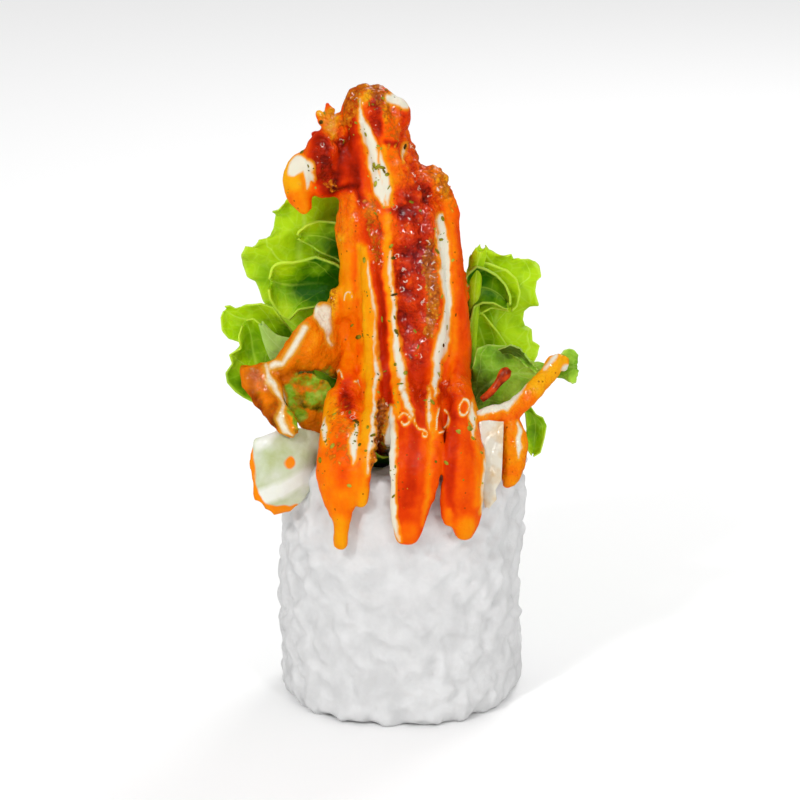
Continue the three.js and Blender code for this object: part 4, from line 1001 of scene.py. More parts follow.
glaze = glaze_material()
shrimp_shells = [shrimp_tube(np.linspace(STEM_TOP, SHRIMP_TOP, 150), 96)]
shrimp_shells += [ribbon(rows) for rows in FRONT_RIBBONS]
shrimp_shells += [ribbon(BACK_LEFT_RIBBON, side=1), ribbon(BACK_RIGHT_RIBBON, side=1)]
shrimp_shells += [lump(*clump) for clump in CLUMPS]
shrimp_shells.append(rope(CURLED_TAIL, (0, -1, 0)))
shrimp = fused_piece("fried_shrimp", shrimp_shells, voxel=0.315, rounds=8)
spots = points_of(shrimp)
# The painted edges wander a little, as if brushed on. Only the front and the crown are painted; at the back
# sauce and golden crumbs lie in clouds.
wander = 0.45 * soft_noise(spots * (1, 1, 0.3), 2.2, seed=12) + 0.2 * soft_noise(spots, 0.9, seed=13)
brushed = spots + wander[:, None] * (1, 0, 0)
middle_y = table_at(SHRIMP_OVALS, spots[:, 2])[:, 1]
over_the_top = 2.5 * np.clip((spots[:, 2] - CROWN_FROM) / 4, 0, 1)
front = np.clip((middle_y + 1.5 + over_the_top - spots[:, 1]) / 3, 0, 1)
cloudy = soft_noise(spots * (1, 1, 0.4), 3.2, seed=14)
rough = painted(brushed, 0.12 + 0 * front, ROUGHNESS) * front + (0.75 + 0.2 * cloudy) * (1 - front)
whiteness = depth_in_any(brushed, MAYONNAISE)
rough *= 1 - 0.7 * np.clip(0.5 + whiteness, 0, 1) * front
# Rough places have crags and swells, smooth ones only what runs down in the sauce, and wrinkles stand up.
crags = 1.3 * crumbs(spots, 2.2, seed=2) + 0.7 * crumbs(spots + 7.3, 1.1, seed=5) - 0.7
swells = 0.5 * soft_noise(spots, 4.4, seed=1) + 0.25 * soft_noise(spots, 2.0, seed=6)
flow = 0.14 * soft_noise(spots * (1, 1, 0.3), 1.3, seed=8) + 0.08 * soft_noise(spots, 1.1, seed=9)
relief = rough * (0.7 * crags + swells) + (1 - 0.5 * rough) * (flow + 0.3 * swells)
folds = depth_in_any(spots, [thin_line(rows) for rows in WRINKLES])
relief += WRINKLE_HEIGHT * np.exp(-((folds / WRINKLE_WIDTH) ** 2)) * front
spots += normals_of(shrimp) * relief[:, None]
move_points(shrimp, spots)
redness = painted(brushed, 0.5 + 0.1 * cloudy, REDNESS) * front + (0.62 + 0.2 * cloudy) * (1 - front)
bareness = painted(brushed, 0.0 * front, BARENESS) * front + (0.45 + 0.5 * cloudy) * (1 - front)
# A painted highlight: the crests of the wrinkles are painted white, WRINKLE_CREST mm to each side, and kept
# with the mayonnaise.
mayonnaise_and_crest_highlights = np.maximum(whiteness, 3 * (WRINKLE_CREST + folds))
store(shrimp, "red", redness)
store(shrimp, "bare", bareness)
store(shrimp, "rough", rough)
store(shrimp, "relief", relief)
store(shrimp, "mayonnaise", np.where(front > 0.3, mayonnaise_and_crest_highlights, NO_MAYONNAISE))
shrimp.data.materials.append(glaze)
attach(shrimp, "root")
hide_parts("shrimp")

# Below the rim the shrimp goes on down to the foot of the roll, in plain golden crust. Its top reaches a
# little way up into the body.
stem = solid_piece("shrimp_stem", [shrimp_tube(np.linspace(0, STEM_TOP + 0.5, 60), 120)])
spots = points_of(stem)
relief = 0.5 * crumbs(spots, 2.0, seed=17) - 0.5
spots += normals_of(stem) * relief[:, None]
spots[:, 2] = np.maximum(spots[:, 2], 0)
move_points(stem, spots)
store(stem, "red", 0.4)
store(stem, "bare", 1.0)
store(stem, "rough", 1.0)
store(stem, "relief", relief)
store(stem, "mayonnaise", NO_MAYONNAISE)
stem.data.materials.append(glaze)
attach(stem, "root")
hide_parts("shrimp")

# ---- green lettuce ----
# Leaves of green lettuce, tucked into the roll between shrimp and nori. They fan out above the rim in thin
# lobes with ruffled, pointed edges. Light shines through them, and pale veins branch across them.
LEAF_FOOT = 0.3
FOOT_RADIUS = 12.0
FOOT_THICK = 0.7
LARGE_LOBE_GRID = (200, 61)
# Each lobe is drawn as two edges from its foot to its tip, in rows of x and z.
LEFT_UPPER_EDGES = (
    [
        (-9.9, 43.5), (-12.8, 50.6), (-16.7, 58.1), (-20.9, 65.2), (-25.0, 71.2), (-26.4, 74.2),
        (-27.9, 75.0), (-28.7, 77.0), (-28.9, 79.4), (-28.1, 81.1), (-27.5, 80.4), (-26.2, 81.4),
        (-25.6, 82.5), (-25.0, 81.8), (-23.6, 82.3), (-22.9, 84.5), (-22.5, 86.6), (-23.2, 87.4),
        (-22.0, 88.4), (-20.7, 89.9), (-19.4, 90.9),
    ],
    [
        (-5.9, 43.2), (-5.9, 52.3), (-6.7, 63.6), (-7.7, 74.9), (-8.8, 83.4), (-10.0, 88.5), (-11.4, 90.8),
        (-14.0, 92.0), (-17.0, 92.0), (-18.7, 91.3),
    ],
)
LEFT_MIDDLE_EDGES = (
    [
        (-10.6, 45.9), (-14.2, 53.2), (-20.0, 59.4), (-25.0, 64.1), (-27.2, 65.7), (-29.1, 65.5),
        (-30.8, 66.1), (-31.9, 67.8), (-32.2, 70.0), (-31.7, 71.0),
    ],
    [
        (-11.7, 45.3), (-14.9, 57.4), (-18.9, 65.9), (-22.7, 71.8), (-25.0, 72.6), (-27.7, 72.2),
        (-29.5, 71.2), (-30.6, 72.0), (-31.5, 71.9),
    ],
)
LEFT_LOWER_EDGES = (
    [
        (-9.9, 46.0), (-16.4, 50.0), (-23.6, 53.3), (-27.2, 54.9), (-28.3, 55.5), (-29.7, 56.6),
        (-31.2, 58.2), (-31.4, 60.0), (-30.1, 62.1), (-30.6, 63.8), (-28.5, 65.0), (-28.9, 67.3),
        (-28.3, 69.0),
    ],
    [
        (-11.3, 45.7), (-14.9, 55.9), (-19.6, 62.0), (-21.8, 65.0), (-23.6, 67.4), (-25.0, 69.3),
        (-26.3, 70.2), (-27.5, 70.0),
    ],
)
LEFT_CUP_EDGES = (
    [
        (-9.9, 46.3), (-9.2, 57.6), (-9.9, 68.0), (-12.1, 72.6), (-15.1, 71.8), (-18.4, 71.4),
        (-20.0, 69.5), (-21.2, 70.1), (-22.3, 71.6), (-23.3, 73.7), (-23.5, 75.6),
    ],
    [
        (-11.0, 46.1), (-8.8, 61.1), (-8.1, 72.4), (-9.2, 77.8), (-11.6, 79.8), (-15.1, 81.2),
        (-17.0, 80.7), (-19.1, 80.4), (-21.1, 80.6), (-22.3, 80.2), (-22.9, 79.6), (-23.4, 77.5),
    ],
)
LEFT_FOLD_EDGES = (
    [
        (-8.8, 45.3), (-7.7, 60.3), (-8.1, 71.7), (-9.2, 78.5), (-11.7, 80.0), (-14.3, 81.1), (-16.2, 82.4),
        (-17.8, 83.3), (-18.4, 83.9),
    ],
    [
        (-7.7, 45.3), (-6.3, 60.3), (-7.0, 73.5), (-8.1, 83.0), (-10.1, 86.1), (-12.0, 86.7), (-14.6, 87.0),
        (-16.7, 86.5), (-18.2, 85.4), (-18.5, 84.6),
    ],
)
LEFT_RIB_EDGES = (
    [(-14.2, 50.5), (-18.2, 58.3), (-21.6, 62.7), (-23.3, 63.0), (-24.5, 66.4), (-25.2, 69.6)],
    [(-12.6, 51.5), (-16.1, 60.6), (-19.3, 66.8), (-21.8, 67.3), (-23.2, 68.3), (-24.7, 70.0)],
)
LEFT_BACK_EDGES = (
    [
        (-5.0, 44.0), (-6.2, 48.5), (-10.4, 55.0), (-12.2, 58.6), (-11.8, 60.6), (-13.6, 64.8),
        (-13.2, 67.0), (-14.6, 71.0), (-13.9, 73.6), (-14.2, 77.4), (-12.6, 79.0), (-12.0, 82.4),
        (-10.2, 83.2), (-8.6, 84.8),
    ],
    [
        (-1.0, 44.0), (0.4, 48.5), (2.8, 54.0), (2.6, 56.4), (4.0, 60.4), (3.4, 62.8), (4.2, 66.6),
        (2.8, 69.4), (2.6, 73.2), (0.2, 75.2), (-0.8, 79.0), (-3.6, 80.4), (-5.0, 83.6), (-7.0, 84.0),
    ],
)
RIGHT_UPPER_EDGES = (
    [
        (7.0, 43.2), (9.2, 52.3), (10.6, 61.7), (11.5, 71.1), (12.1, 76.8), (12.5, 79.9), (13.1, 80.3),
        (13.3, 81.4), (14.2, 81.9),
    ],
    [
        (11.0, 43.5), (15.7, 50.6), (20.3, 55.8), (22.9, 57.9), (23.9, 59.2), (24.8, 61.0), (25.2, 62.7),
        (23.9, 63.6), (23.8, 65.3), (22.5, 65.7), (22.1, 67.2), (22.3, 68.9), (23.7, 70.2), (24.9, 70.6),
        (24.3, 72.9), (24.5, 74.8), (25.4, 75.5), (25.1, 76.9), (23.0, 78.7), (21.2, 79.2), (20.3, 79.0),
        (19.8, 80.5), (17.2, 79.9), (15.7, 80.3), (15.2, 81.3),
    ],
)
RIGHT_CUP_EDGES = (
    [
        (12.4, 44.9), (12.1, 57.1), (12.1, 66.6), (13.0, 71.6), (14.6, 72.4), (16.4, 72.4), (18.4, 71.4),
        (19.1, 71.4),
    ],
    [
        (11.2, 44.9), (10.6, 57.1), (10.6, 70.3), (11.7, 77.5), (13.5, 79.1), (15.3, 78.5), (17.1, 77.5),
        (18.7, 75.8), (19.5, 73.9), (19.5, 72.3),
    ],
)
RIGHT_RING_EDGES = (
    [(12.6, 45.5), (12.8, 60.0), (13.6, 69.6), (16.0, 71.0), (19.3, 70.4)],
    [
        (11.2, 45.5), (11.0, 62.0), (12.0, 76.0), (13.4, 79.4), (15.6, 79.2), (19.0, 78.0), (20.8, 76.2),
        (21.4, 73.8), (20.8, 71.2), (19.8, 70.4),
    ],
)
RIGHT_INNER_EDGES = (
    [(11.7, 45.0), (11.5, 58.0), (12.0, 66.0), (12.2, 70.2)],
    [(13.5, 45.0), (18.0, 57.0), (19.0, 64.0), (17.0, 67.0), (14.8, 69.8), (13.0, 71.4)],
)
RIGHT_RIB_EDGES = (
    [(11.7, 46.1), (11.9, 61.2), (12.2, 72.6), (12.4, 78.4), (12.8, 81.2), (13.5, 82.2)],
    [(12.6, 46.1), (13.1, 61.2), (13.9, 71.6), (14.4, 77.4), (15.1, 80.8), (15.1, 82.2)],
)
RIGHT_HANGING_EDGES = (
    [
        (11.7, 46.1), (16.0, 49.9), (20.0, 52.0), (22.5, 51.7), (22.7, 49.5), (22.7, 47.2), (22.8, 45.5),
        (23.6, 44.4),
    ],
    [
        (12.2, 46.8), (17.8, 52.1), (21.4, 53.2), (23.6, 52.4), (24.5, 51.0), (25.7, 50.6), (26.4, 49.2),
        (25.7, 46.9), (25.2, 44.8), (23.9, 44.3),
    ],
)
RIGHT_BACK_EDGES = (
    [
        (2.0, 44.0), (0.8, 48.5), (-1.6, 53.6), (-1.2, 56.0), (-2.8, 60.0), (-2.4, 62.4), (-3.0, 66.0),
        (-1.2, 68.4), (-0.6, 72.0), (1.8, 73.6), (3.2, 77.2), (5.6, 78.6),
    ],
    [
        (6.6, 44.0), (7.8, 48.5), (11.0, 53.0), (12.4, 57.0), (12.0, 59.4), (13.8, 62.6), (13.2, 65.0),
        (13.9, 69.0), (12.6, 71.2), (12.2, 74.6), (10.4, 75.8), (8.6, 78.2),
    ],
)
FRONT_CURL_EDGES = (
    [(-5.0, 45.0), (-6.4, 47.6), (-6.9, 49.6), (-6.2, 50.6)],
    [(-0.4, 45.0), (-0.6, 47.4), (-1.8, 48.6), (-3.2, 49.0), (-5.2, 50.4)],
)


def even_edge(rows, count):
    """Points at even distances along a drawn edge, which keep its corners."""
    rows = np.array(rows, float)
    walked = np.concatenate([[0], np.cumsum(np.linalg.norm(np.diff(rows, axis=0), axis=1))])
    at = np.linspace(0, walked[-1], count)
    return np.stack([np.interp(at, walked, column) for column in rows.T], -1)


def calmed(edge, reach):
    """An edge with its teeth smoothed away: the mean of the points within `reach` places."""
    padded = np.concatenate([np.repeat(edge[:1], reach, 0), edge, np.repeat(edge[-1:], reach, 0)])
    total = np.cumsum(np.concatenate([[[0, 0]], padded]), axis=0)
    width = 2 * reach + 1
    return (total[width:] - total[:-width]) / width


def sheet_solid(middle, thick):
    """A closed thin solid from a grid of points: half the thickness to each side along the grid's normals,
    joined along the border. Its two faces are split into triangles alike."""
    rows, columns = middle.shape[:2]
    normal = unit(np.cross(np.gradient(middle, axis=0), np.gradient(middle, axis=1)) + 1e-9)
    front = middle + 0.5 * thick[..., None] * normal
    back = middle - 0.5 * thick[..., None] * normal
    number = np.arange(rows * columns).reshape(rows, columns)
    a, b = number[:-1, :-1].ravel(), number[1:, :-1].ravel()
    c, d = number[1:, 1:].ravel(), number[:-1, 1:].ravel()
    face = np.concatenate([np.stack([a, b, c], 1), np.stack([a, c, d], 1)])
    border = np.concatenate([number[0, :-1], number[:-1, -1], number[-1, :0:-1], number[:0:-1, 0]])
    after = np.roll(border, -1)
    behind = rows * columns
    rim_one = np.stack([border, after, after + behind], 1)
    rim_two = np.stack([border, after + behind, border + behind], 1)
    points = np.concatenate([front.reshape(-1, 3), back.reshape(-1, 3)])
    return points, np.concatenate([face, face[:, ::-1] + behind, rim_one, rim_two])


def leaf_lobe(
    edges, depths, cup=0.0, ruffle=0.0, waves=3.0, phase=0.0,
    painted_shade=0.0, inner=0.0, thick=0.55, grid=(120, 35),
):
    """One lobe between two drawn edges, as a closed solid with its marks: s from foot to tip, t from edge
    to edge. Its depth follows `depths` from foot to tip. `cup` brings the edges forward by cup * t^2, and
    ruffles grow towards the edge as sines of s. The teeth of an edge fade inwards as t^3. The third mark is
    painted shade: the lobe's own amount, more in the hollows of its ruffles and blisters, and more within
    `inner` mm of the roll's middle. `grid` is how many points the lobe has along s and along t."""
    rows, columns = grid
    s = np.linspace(0, 1, rows)[:, None]
    t = np.linspace(-1, 1, columns)[None, :]
    one, two = (even_edge(edge, rows) for edge in edges)
    calm_one, calm_two = (calmed(edge, rows // 14) for edge in (one, two))
    near_one, near_two = np.maximum(-t, 0)[..., None] ** 3, np.maximum(t, 0)[..., None] ** 3
    place = calm_one[:, None] * (1 - t)[..., None] / 2 + calm_two[:, None] * (1 + t)[..., None] / 2
    place = place + (one - calm_one)[:, None] * near_one + (two - calm_two)[:, None] * near_two
    side = np.where(t > 0, 0.5, 0)
    wave = np.sin(2 * np.pi * waves * s + phase + 3.4 * side)
    flutter = np.sin(2 * np.pi * waves * 2.7 * s + 2.1 * phase + 5 * side)
    lift = cup * t**2 * np.sin(np.pi * np.minimum(1.3 * s, 1) / 2)
    lift = lift + ruffle * s * (wave * t**2 + 0.45 * flutter * t**4)
    depth = smooth_path(np.array(depths, float)[:, None], rows) - lift
    middle = np.stack([place[..., 0], depth, place[..., 1]], -1)
    blister = 0.5 * soft_noise(middle, 3.4, seed=21) + 0.12 * soft_noise(middle, 1.4, seed=22)
    middle[..., 1] += blister * (1 - 0.6 * t**2) * np.minimum(4 * s, 1)
    thickness = thick * (1 - 0.4 * np.abs(t) ** 3) * (1 - 0.25 * s)
    # Painted shade: darker in the hollows of the ruffles and blisters and within `inner` mm of the roll's
    # middle, lighter on the crests of the ruffles.
    shade = painted_shade - 0.16 * ruffle * s * (wave * t**2 + 0.7 * flutter * t**4)
    shade = shade + 0.5 * np.clip((inner - np.abs(middle[..., 0])) / 7, 0, 1) + 0.5 * blister
    marks = np.stack([s + 0 * t, t + 0 * s, shade], -1).reshape(-1, 3)
    points, faces = sheet_solid(middle, thickness)
    return points, faces, np.concatenate([marks, marks])


def leaf_foot(start, end, height):
    """The foot of a leaf: a curved sheet between shrimp and nori, from one angle in degrees to another, and
    from the cut end up to `height`."""
    level = np.linspace(0, 1, 20)[:, None]
    turn = np.radians(np.linspace(start, end, 40))[None, :]
    reach = FOOT_RADIUS + 0.2 * np.sin(7 * turn + 3 * level)
    rise = LEAF_FOOT + (height - LEAF_FOOT) * level + 0 * turn
    middle = np.stack([reach * np.cos(turn), reach * np.sin(turn), rise], -1)
    points, faces = sheet_solid(middle, np.full(middle.shape[:2], FOOT_THICK))
    # Its marks: at the foot, halfway across, with a little painted shade.
    marks = np.tile((0.0, 0.5, 0.2), (len(points), 1))
    return points, faces, marks


def leaf_piece(label, parts):
    """A leaf of lobes and foot, with the marks that its veins follow."""
    piece = solid_piece(label, [part[:2] for part in parts])
    marks = np.concatenate([part[2] for part in parts])
    for name, values in zip(("along", "across", "painted_shade"), marks.T):
        store(piece, name, values)
    return piece


def leaf_pattern_group():
    """The pattern of a lettuce leaf: side veins are thin lines where 6 s - 1.5 |t|, wobbled, is a whole
    number, the rib is where t is 0, and a net of cells lies between. The leaf is lighter towards edge and
    tip: paler at the edge in its own colour, and darker towards the foot deep in the roll, which is painted
    shade. The lobe's painted shade takes the lightness down, and a pale rim along the very edge is a
    painted highlight."""
    gives = ["Veins", "Ridges", "Edge Highlight", "Light", "Blisters"]
    group, given, put_out = node_group("leaf_pattern", ["Mottling"], gives)
    along, across, painted_shade = (stored(group, mark) for mark in ("along", "across", "painted_shade"))
    size = math(group, "ABSOLUTE", across)
    step = math(group, "MULTIPLY_ADD", along, 6.0, math(group, "MULTIPLY", size, -1.5))
    wobble = math(group, "MULTIPLY_ADD", noise(group, 220, 2), 0.9, step)
    side_veins = share_of(group, math(group, "PINGPONG", wobble, 1.0), 0.06, 0.0)
    ridges = math(group, "MAXIMUM", side_veins, share_of(group, size, 0.09, 0.0))
    place = shader_node(group, "ShaderNodeTexCoord").outputs["Object"]
    inputs = {"Vector": place, "Scale": 420}
    cells = shader_node(group, "ShaderNodeTexVoronoi", inputs, feature="DISTANCE_TO_EDGE").outputs
    net = math(group, "MULTIPLY", share_of(group, cells["Distance"], 0.08, 0.0), 0.35)
    tip = math(group, "MULTIPLY_ADD", math(group, "POWER", size, 2.0), 0.3, along)
    mottled = math(group, "MULTIPLY", math(group, "ADD", noise(group, 170, 4), -0.5), given["Mottling"])
    light = math(group, "SUBTRACT", math(group, "ADD", tip, mottled), painted_shade)
    group.links.new(math(group, "MAXIMUM", ridges, net), put_out["Veins"])
    group.links.new(ridges, put_out["Ridges"])
    group.links.new(share_of(group, size, 0.93, 0.99), put_out["Edge Highlight"])
    group.links.new(light, put_out["Light"])
    group.links.new(noise(group, 480, 3), put_out["Blisters"])
    return group


leaf_pattern = leaf_pattern_group()


def leaf_material(name, light, middle, dark, pale, mottling=1.6, lumps=0.0004):
    """A fresh leaf: paler towards the edge and the tip, with painted shade in its folds and hollows and
    towards its foot, a painted highlight along its rim, and branching pale veins.
    """
    material, tree, shader = principled(name)
    leaf = shader_node(tree, "ShaderNodeGroup", {"Mottling": mottling}, node_tree=leaf_pattern).outputs
    skin = ramp(tree, leaf["Light"], [(0.0, *dark), (0.45, *middle), (0.95, *light)])
    veins = math(tree, "MULTIPLY", leaf["Veins"], share_of(tree, leaf["Light"], -0.4, 1.2))
    veins = math(tree, "MULTIPLY", veins, 0.8)
    # Pale veins, and a painted highlight along the leaf's edge.
    colour = mix(tree, math(tree, "MAXIMUM", veins, math(tree, "MULTIPLY", leaf["Edge Highlight"], 0.6)), skin, pale)
    tree.links.new(colour, shader.inputs["Base Color"])
    set_inputs(shader, Roughness=0.4, Specular_IOR_Level=0.08)
    set_inputs(shader, Subsurface_Weight=0.2, Subsurface_Scale=0.001, Subsurface_Radius=(0.5, 1, 0.1))
    bumped(tree, shader, math(tree, "MULTIPLY_ADD", leaf["Ridges"], -0.06, leaf["Blisters"]), lumps)
    return material


lettuce_green = leaf_material(
    "lettuce_leaf",
    light=(0.44, 0.66, 0.004),
    middle=(0.21, 0.43, 0.0),
    dark=(0.018, 0.11, 0.0),
    pale=(0.58, 0.80, 0.08),
)

lettuce_left = leaf_piece(
    "lettuce_left_leaf",
    [
        leaf_foot(88, 192, 47.2),
        leaf_lobe(
            LEFT_UPPER_EDGES, (9, 8, 7.5, 5.5),
            cup=-2.0, ruffle=2.8, waves=4.4, painted_shade=-0.2, inner=15, grid=LARGE_LOBE_GRID,
        ),
        leaf_lobe(LEFT_FOLD_EDGES, (7.5, 7, 4.5, 3.5), cup=1.6, ruffle=0.6, painted_shade=0.5, inner=17, thick=0.8),
        leaf_lobe(
            LEFT_CUP_EDGES, (4, 4, 2.5, 0),
            cup=2.6, ruffle=0.5, waves=2, painted_shade=0.48, inner=21, thick=0.8,
        ),
        leaf_lobe(LEFT_MIDDLE_EDGES, (3, 3.5, 2, 1), cup=1.6, ruffle=1.0, waves=2.4, phase=1, inner=23),
        leaf_lobe(
            LEFT_LOWER_EDGES, (1.5, 1, 0, -1),
            cup=2.4, ruffle=0.9, waves=2.2, phase=2, painted_shade=0.3, inner=26,
        ),
        leaf_lobe(LEFT_BACK_EDGES, (12.0, 13.2, 14.0, 14.6), cup=-1.0, ruffle=2.0, waves=3.2, phase=2),
    ],
)
lettuce_left.data.materials.append(lettuce_green)
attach(lettuce_left, "root")
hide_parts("lettuce_left")

lettuce_right = leaf_piece(
    "lettuce_right_leaf",
    [
        leaf_foot(-8, 82, 47.2),
        leaf_lobe(
            RIGHT_UPPER_EDGES, (8, 8, 7, 5.5),
            cup=-1.4, ruffle=3.0, waves=4.2, phase=1.2, painted_shade=-0.45, grid=LARGE_LOBE_GRID,
        ),
        leaf_lobe(
            RIGHT_RING_EDGES, (6, 5.4, 4.6, 3.4),
            cup=1.2, ruffle=0.5, waves=2.6, phase=0.6, painted_shade=0.05, thick=0.7,
        ),
        leaf_lobe(
            RIGHT_INNER_EDGES, (5.6, 5.2, 4.6, 3.8),
            cup=0.8, ruffle=0.5, waves=2.2, painted_shade=0.4, thick=0.7,
        ),
        leaf_lobe(RIGHT_CUP_EDGES, (4.5, 4, 3, 1.5), cup=1.8, ruffle=0.4, painted_shade=0.95, thick=0.8),
        leaf_lobe(RIGHT_RIB_EDGES, (3.5, 3, 1.5, 1.5), cup=-0.6, painted_shade=0.1, thick=1.0),
        leaf_lobe(RIGHT_HANGING_EDGES, (4, 4.4, 3, 0.5), cup=0.8, ruffle=0.8, waves=2, phase=1, painted_shade=0.35),
        leaf_lobe(RIGHT_BACK_EDGES, (11.6, 12.0, 12.6, 13.2), cup=-1.0, ruffle=1.6, waves=2.8, phase=0.5),
    ],
)
lettuce_right.data.materials.append(lettuce_green)
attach(lettuce_right, "root")
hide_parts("lettuce_right")

lettuce_front = leaf_piece(
    "lettuce_front_leaf",
    [
        leaf_foot(256, 290, 47),
        leaf_lobe(FRONT_CURL_EDGES, (-11.6, -14, -17, -18.4), cup=0.6, ruffle=0.6, waves=1.5, painted_shade=0.35),
    ],
)
lettuce_front.data.materials.append(lettuce_green)
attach(lettuce_front, "root")
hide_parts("lettuce_front")

# A pale, thick rib stands between the left lobes.
leaf_rib = leaf_piece("lettuce_rib", [leaf_lobe(LEFT_RIB_EDGES, (-1, -2, -3.4, -4), cup=-0.4, thick=0.9)])
rib_green = leaf_material(
    "pale_leaf_rib",
    light=(0.40, 0.60, 0.12),
    middle=(0.27, 0.42, 0.08),
    dark=(0.16, 0.32, 0.03),
    pale=(0.48, 0.66, 0.20),
)
leaf_rib.data.materials.append(rib_green)
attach(leaf_rib, "root")
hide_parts("lettuce_left")

# ---- sauced leaves ----
# Narrow leaves that stick out to the sides. The left one was dipped in chili sauce and mayonnaise until
# hardly any green shows, and a strand of both lies along the edge of the right one. Both stand in the roll
# by their feet, like the other leaves.
UPPER_ARM_EDGES = (
    [
        (-9.2, 71.6), (-11.6, 72.6), (-13.4, 73.8), (-15.0, 73.7), (-15.6, 72.2), (-17.0, 71.4),
        (-19.1, 69.0), (-20.6, 66.6), (-21.6, 64.4), (-23.6, 63.9), (-26.6, 62.4), (-28.4, 62.6),
    ],
    [
        (-8.8, 58.4), (-11.9, 59.6), (-15.1, 62.2), (-18.2, 61.8), (-20.0, 60.6), (-21.1, 59.3),
        (-23.6, 58.8), (-26.3, 57.6), (-28.1, 59.4),
    ],
)
LOWER_ARM_EDGES = (
    [
        (-28.4, 62.6), (-28.0, 59.6), (-26.1, 57.0), (-23.4, 54.6), (-21.6, 53.0), (-19.6, 52.0),
        (-18.4, 52.2),
    ],
    [
        (-22.5, 63.1), (-21.1, 60.6), (-20.7, 58.6), (-20.3, 57.2), (-19.2, 56.4), (-18.2, 55.2),
        (-17.8, 53.6),
    ],
)
INNER_FOLD_EDGES = (
    [(-8.0, 45.0), (-13.5, 49.0), (-17.8, 52.2), (-20.2, 55.6), (-21.6, 60.4)],
    [(-6.4, 45.4), (-8.5, 52.0), (-10.5, 56.0), (-13.0, 60.4), (-17.0, 62.4)],
)
ARM_REDNESS = [
    (0.58, 1.2, [(-27.4, 61.0, 1.6), (-25.4, 58.6, 2.4), (-22.6, 55.8, 2.0)]),
    (0.24, 1.2, [(-11, 68, 3.0), (-16, 67, 2.4), (-19, 64.5, 1.6)]),
    (0.34, 1.4, [(-12, 66.0, 2.0), (-14, 64.0, 1.4)]),
    (0.72, 0.8, [(-24.4, 59.8, 0.3), (-22.6, 57.4, 0.9), (-21.9, 55.6, 0.7)]),
    (0.66, 0.8, [(-13, 61.5, 0.6), (-19, 62.2, 0.5), (-22, 60.6, 0.4)]),
    (0.80, 0.8, [(-27.2, 59.2, 0.4), (-25.0, 56.8, 0.8), (-22.6, 54.2, 1.0)]),
    (0.50, 0.8, [(-26.8, 61.8, 0.9), (-24.6, 61.0, 1.0)]),
    (0.22, 0.7, [(-25.4, 60.0, 0.5), (-23.4, 57.8, 0.4)]),
    (0.10, 0.6, [(-18.9, 55.6, 1.0), (-18.6, 54.6, 0.8)]),
    (0.85, 0.8, [(-13.6, 58.0, 1.0), (-11.6, 52.0, 1.2)]),
    (0.35, 0.7, [(-14.0, 54.0, 0.8), (-12.4, 50.0, 0.8)]),
]
ARM_MAYONNAISE = [
    [(-16.8, 70.2, 0.7), (-18.4, 67.6, 0.7), (-20.6, 64.0, 0.5), (-23.0, 63.2, 0.5)],
    [(-15.0, 73.2, 0.5), (-13.9, 72.2, 1.3), (-13.2, 70.2, 0.9), (-12.8, 68.4, 0.4), (-12.4, 65.8, 0.25)],
    [(-24.0, 63.4, 0.3), (-23.2, 60.8, 0.7), (-21.4, 58.6, 0.5), (-20.8, 57.4, 0.3)],
    [(-20.6, 57.4, 0.3), (-21.2, 55.2, 0.7), (-20.2, 53.4, 0.7), (-18.8, 52.8, 0.4)],
]
# Where green leaf shows through the sauce.
ARM_BARENESS = [
    (0.8, 0.8, [(-18.4, 60.6, 0.8), (-14, 60.8, 1.4), (-10, 59, 1.8)]),
    (0.9, 0.8, [(-17.0, 57, 1.6), (-13, 57, 2.2), (-10, 55, 1.5)]),
    (1.0, 0.5, [(-19.9, 59.4, 0.7), (-18.9, 57.0, 1.3), (-17.8, 54.4, 1.1)]),
]


def sauced_leaf_material():
    """Thinner sauce over a leaf, browner than on the shrimp; the bare places show green leaf through it."""
    material, tree, shader = principled("sauced_leaf")
    inputs = {"Streak Scale": 420, "Grit Scale": 1400, "Streaking": 1.2, "Grittiness": 0.4}
    # Shade is painted into the hollows of the ripples, as redder sauce.
    inputs.update({"Hollow Shade": -0.3, "Fraying": 0.7})
    paint = shader_node(tree, "ShaderNodeGroup", inputs, node_tree=sauce_paint).outputs
    stops = [
        (0.0, 0.84, 0.33, 0.004),
        (0.2, 0.80, 0.19, 0.001),
        (0.33, 0.74, 0.165, 0.001),
        (0.46, 0.63, 0.15, 0.0),
        (0.62, 0.48, 0.10, 0.0),
        (0.82, 0.25, 0.035, 0.0),
        (1.0, 0.06, 0.01, 0.0),
    ]
    sauce_colour = ramp(tree, paint["Redness"], stops)
    green_stops = [
        (0.28, 0.06, 0.06, 0.0),
        (0.42, 0.28, 0.16, 0.001),
        (0.52, 0.18, 0.34, 0.010),
        (0.68, 0.34, 0.46, 0.05),
    ]
    green = ramp(tree, noise(tree, 420, 4), green_stops)
    colour = mix(tree, share_of(tree, paint["Bare"], 0.15, 0.85), sauce_colour, green)
    colour = mix(tree, share_of(tree, paint["White"], -0.6, 0.1), colour, (0.66, 0.32, 0.02))
    colour = mix(tree, share_of(tree, paint["White"], -0.05, 0.5), colour, (0.76, 0.71, 0.56))
    tree.links.new(colour, shader.inputs["Base Color"])
    set_inputs(shader, Roughness=0.3, Specular_IOR_Level=0.04, Coat_Weight=0.14, Coat_Roughness=0.02)
    set_inputs(shader, Subsurface_Weight=0.1, Subsurface_Scale=0.001, Subsurface_Radius=(1, 0.5, 0.2))
    bumped(tree, shader, paint["Wrinkles"], 0.0001)
    return material


sauced_green = sauced_leaf_material()


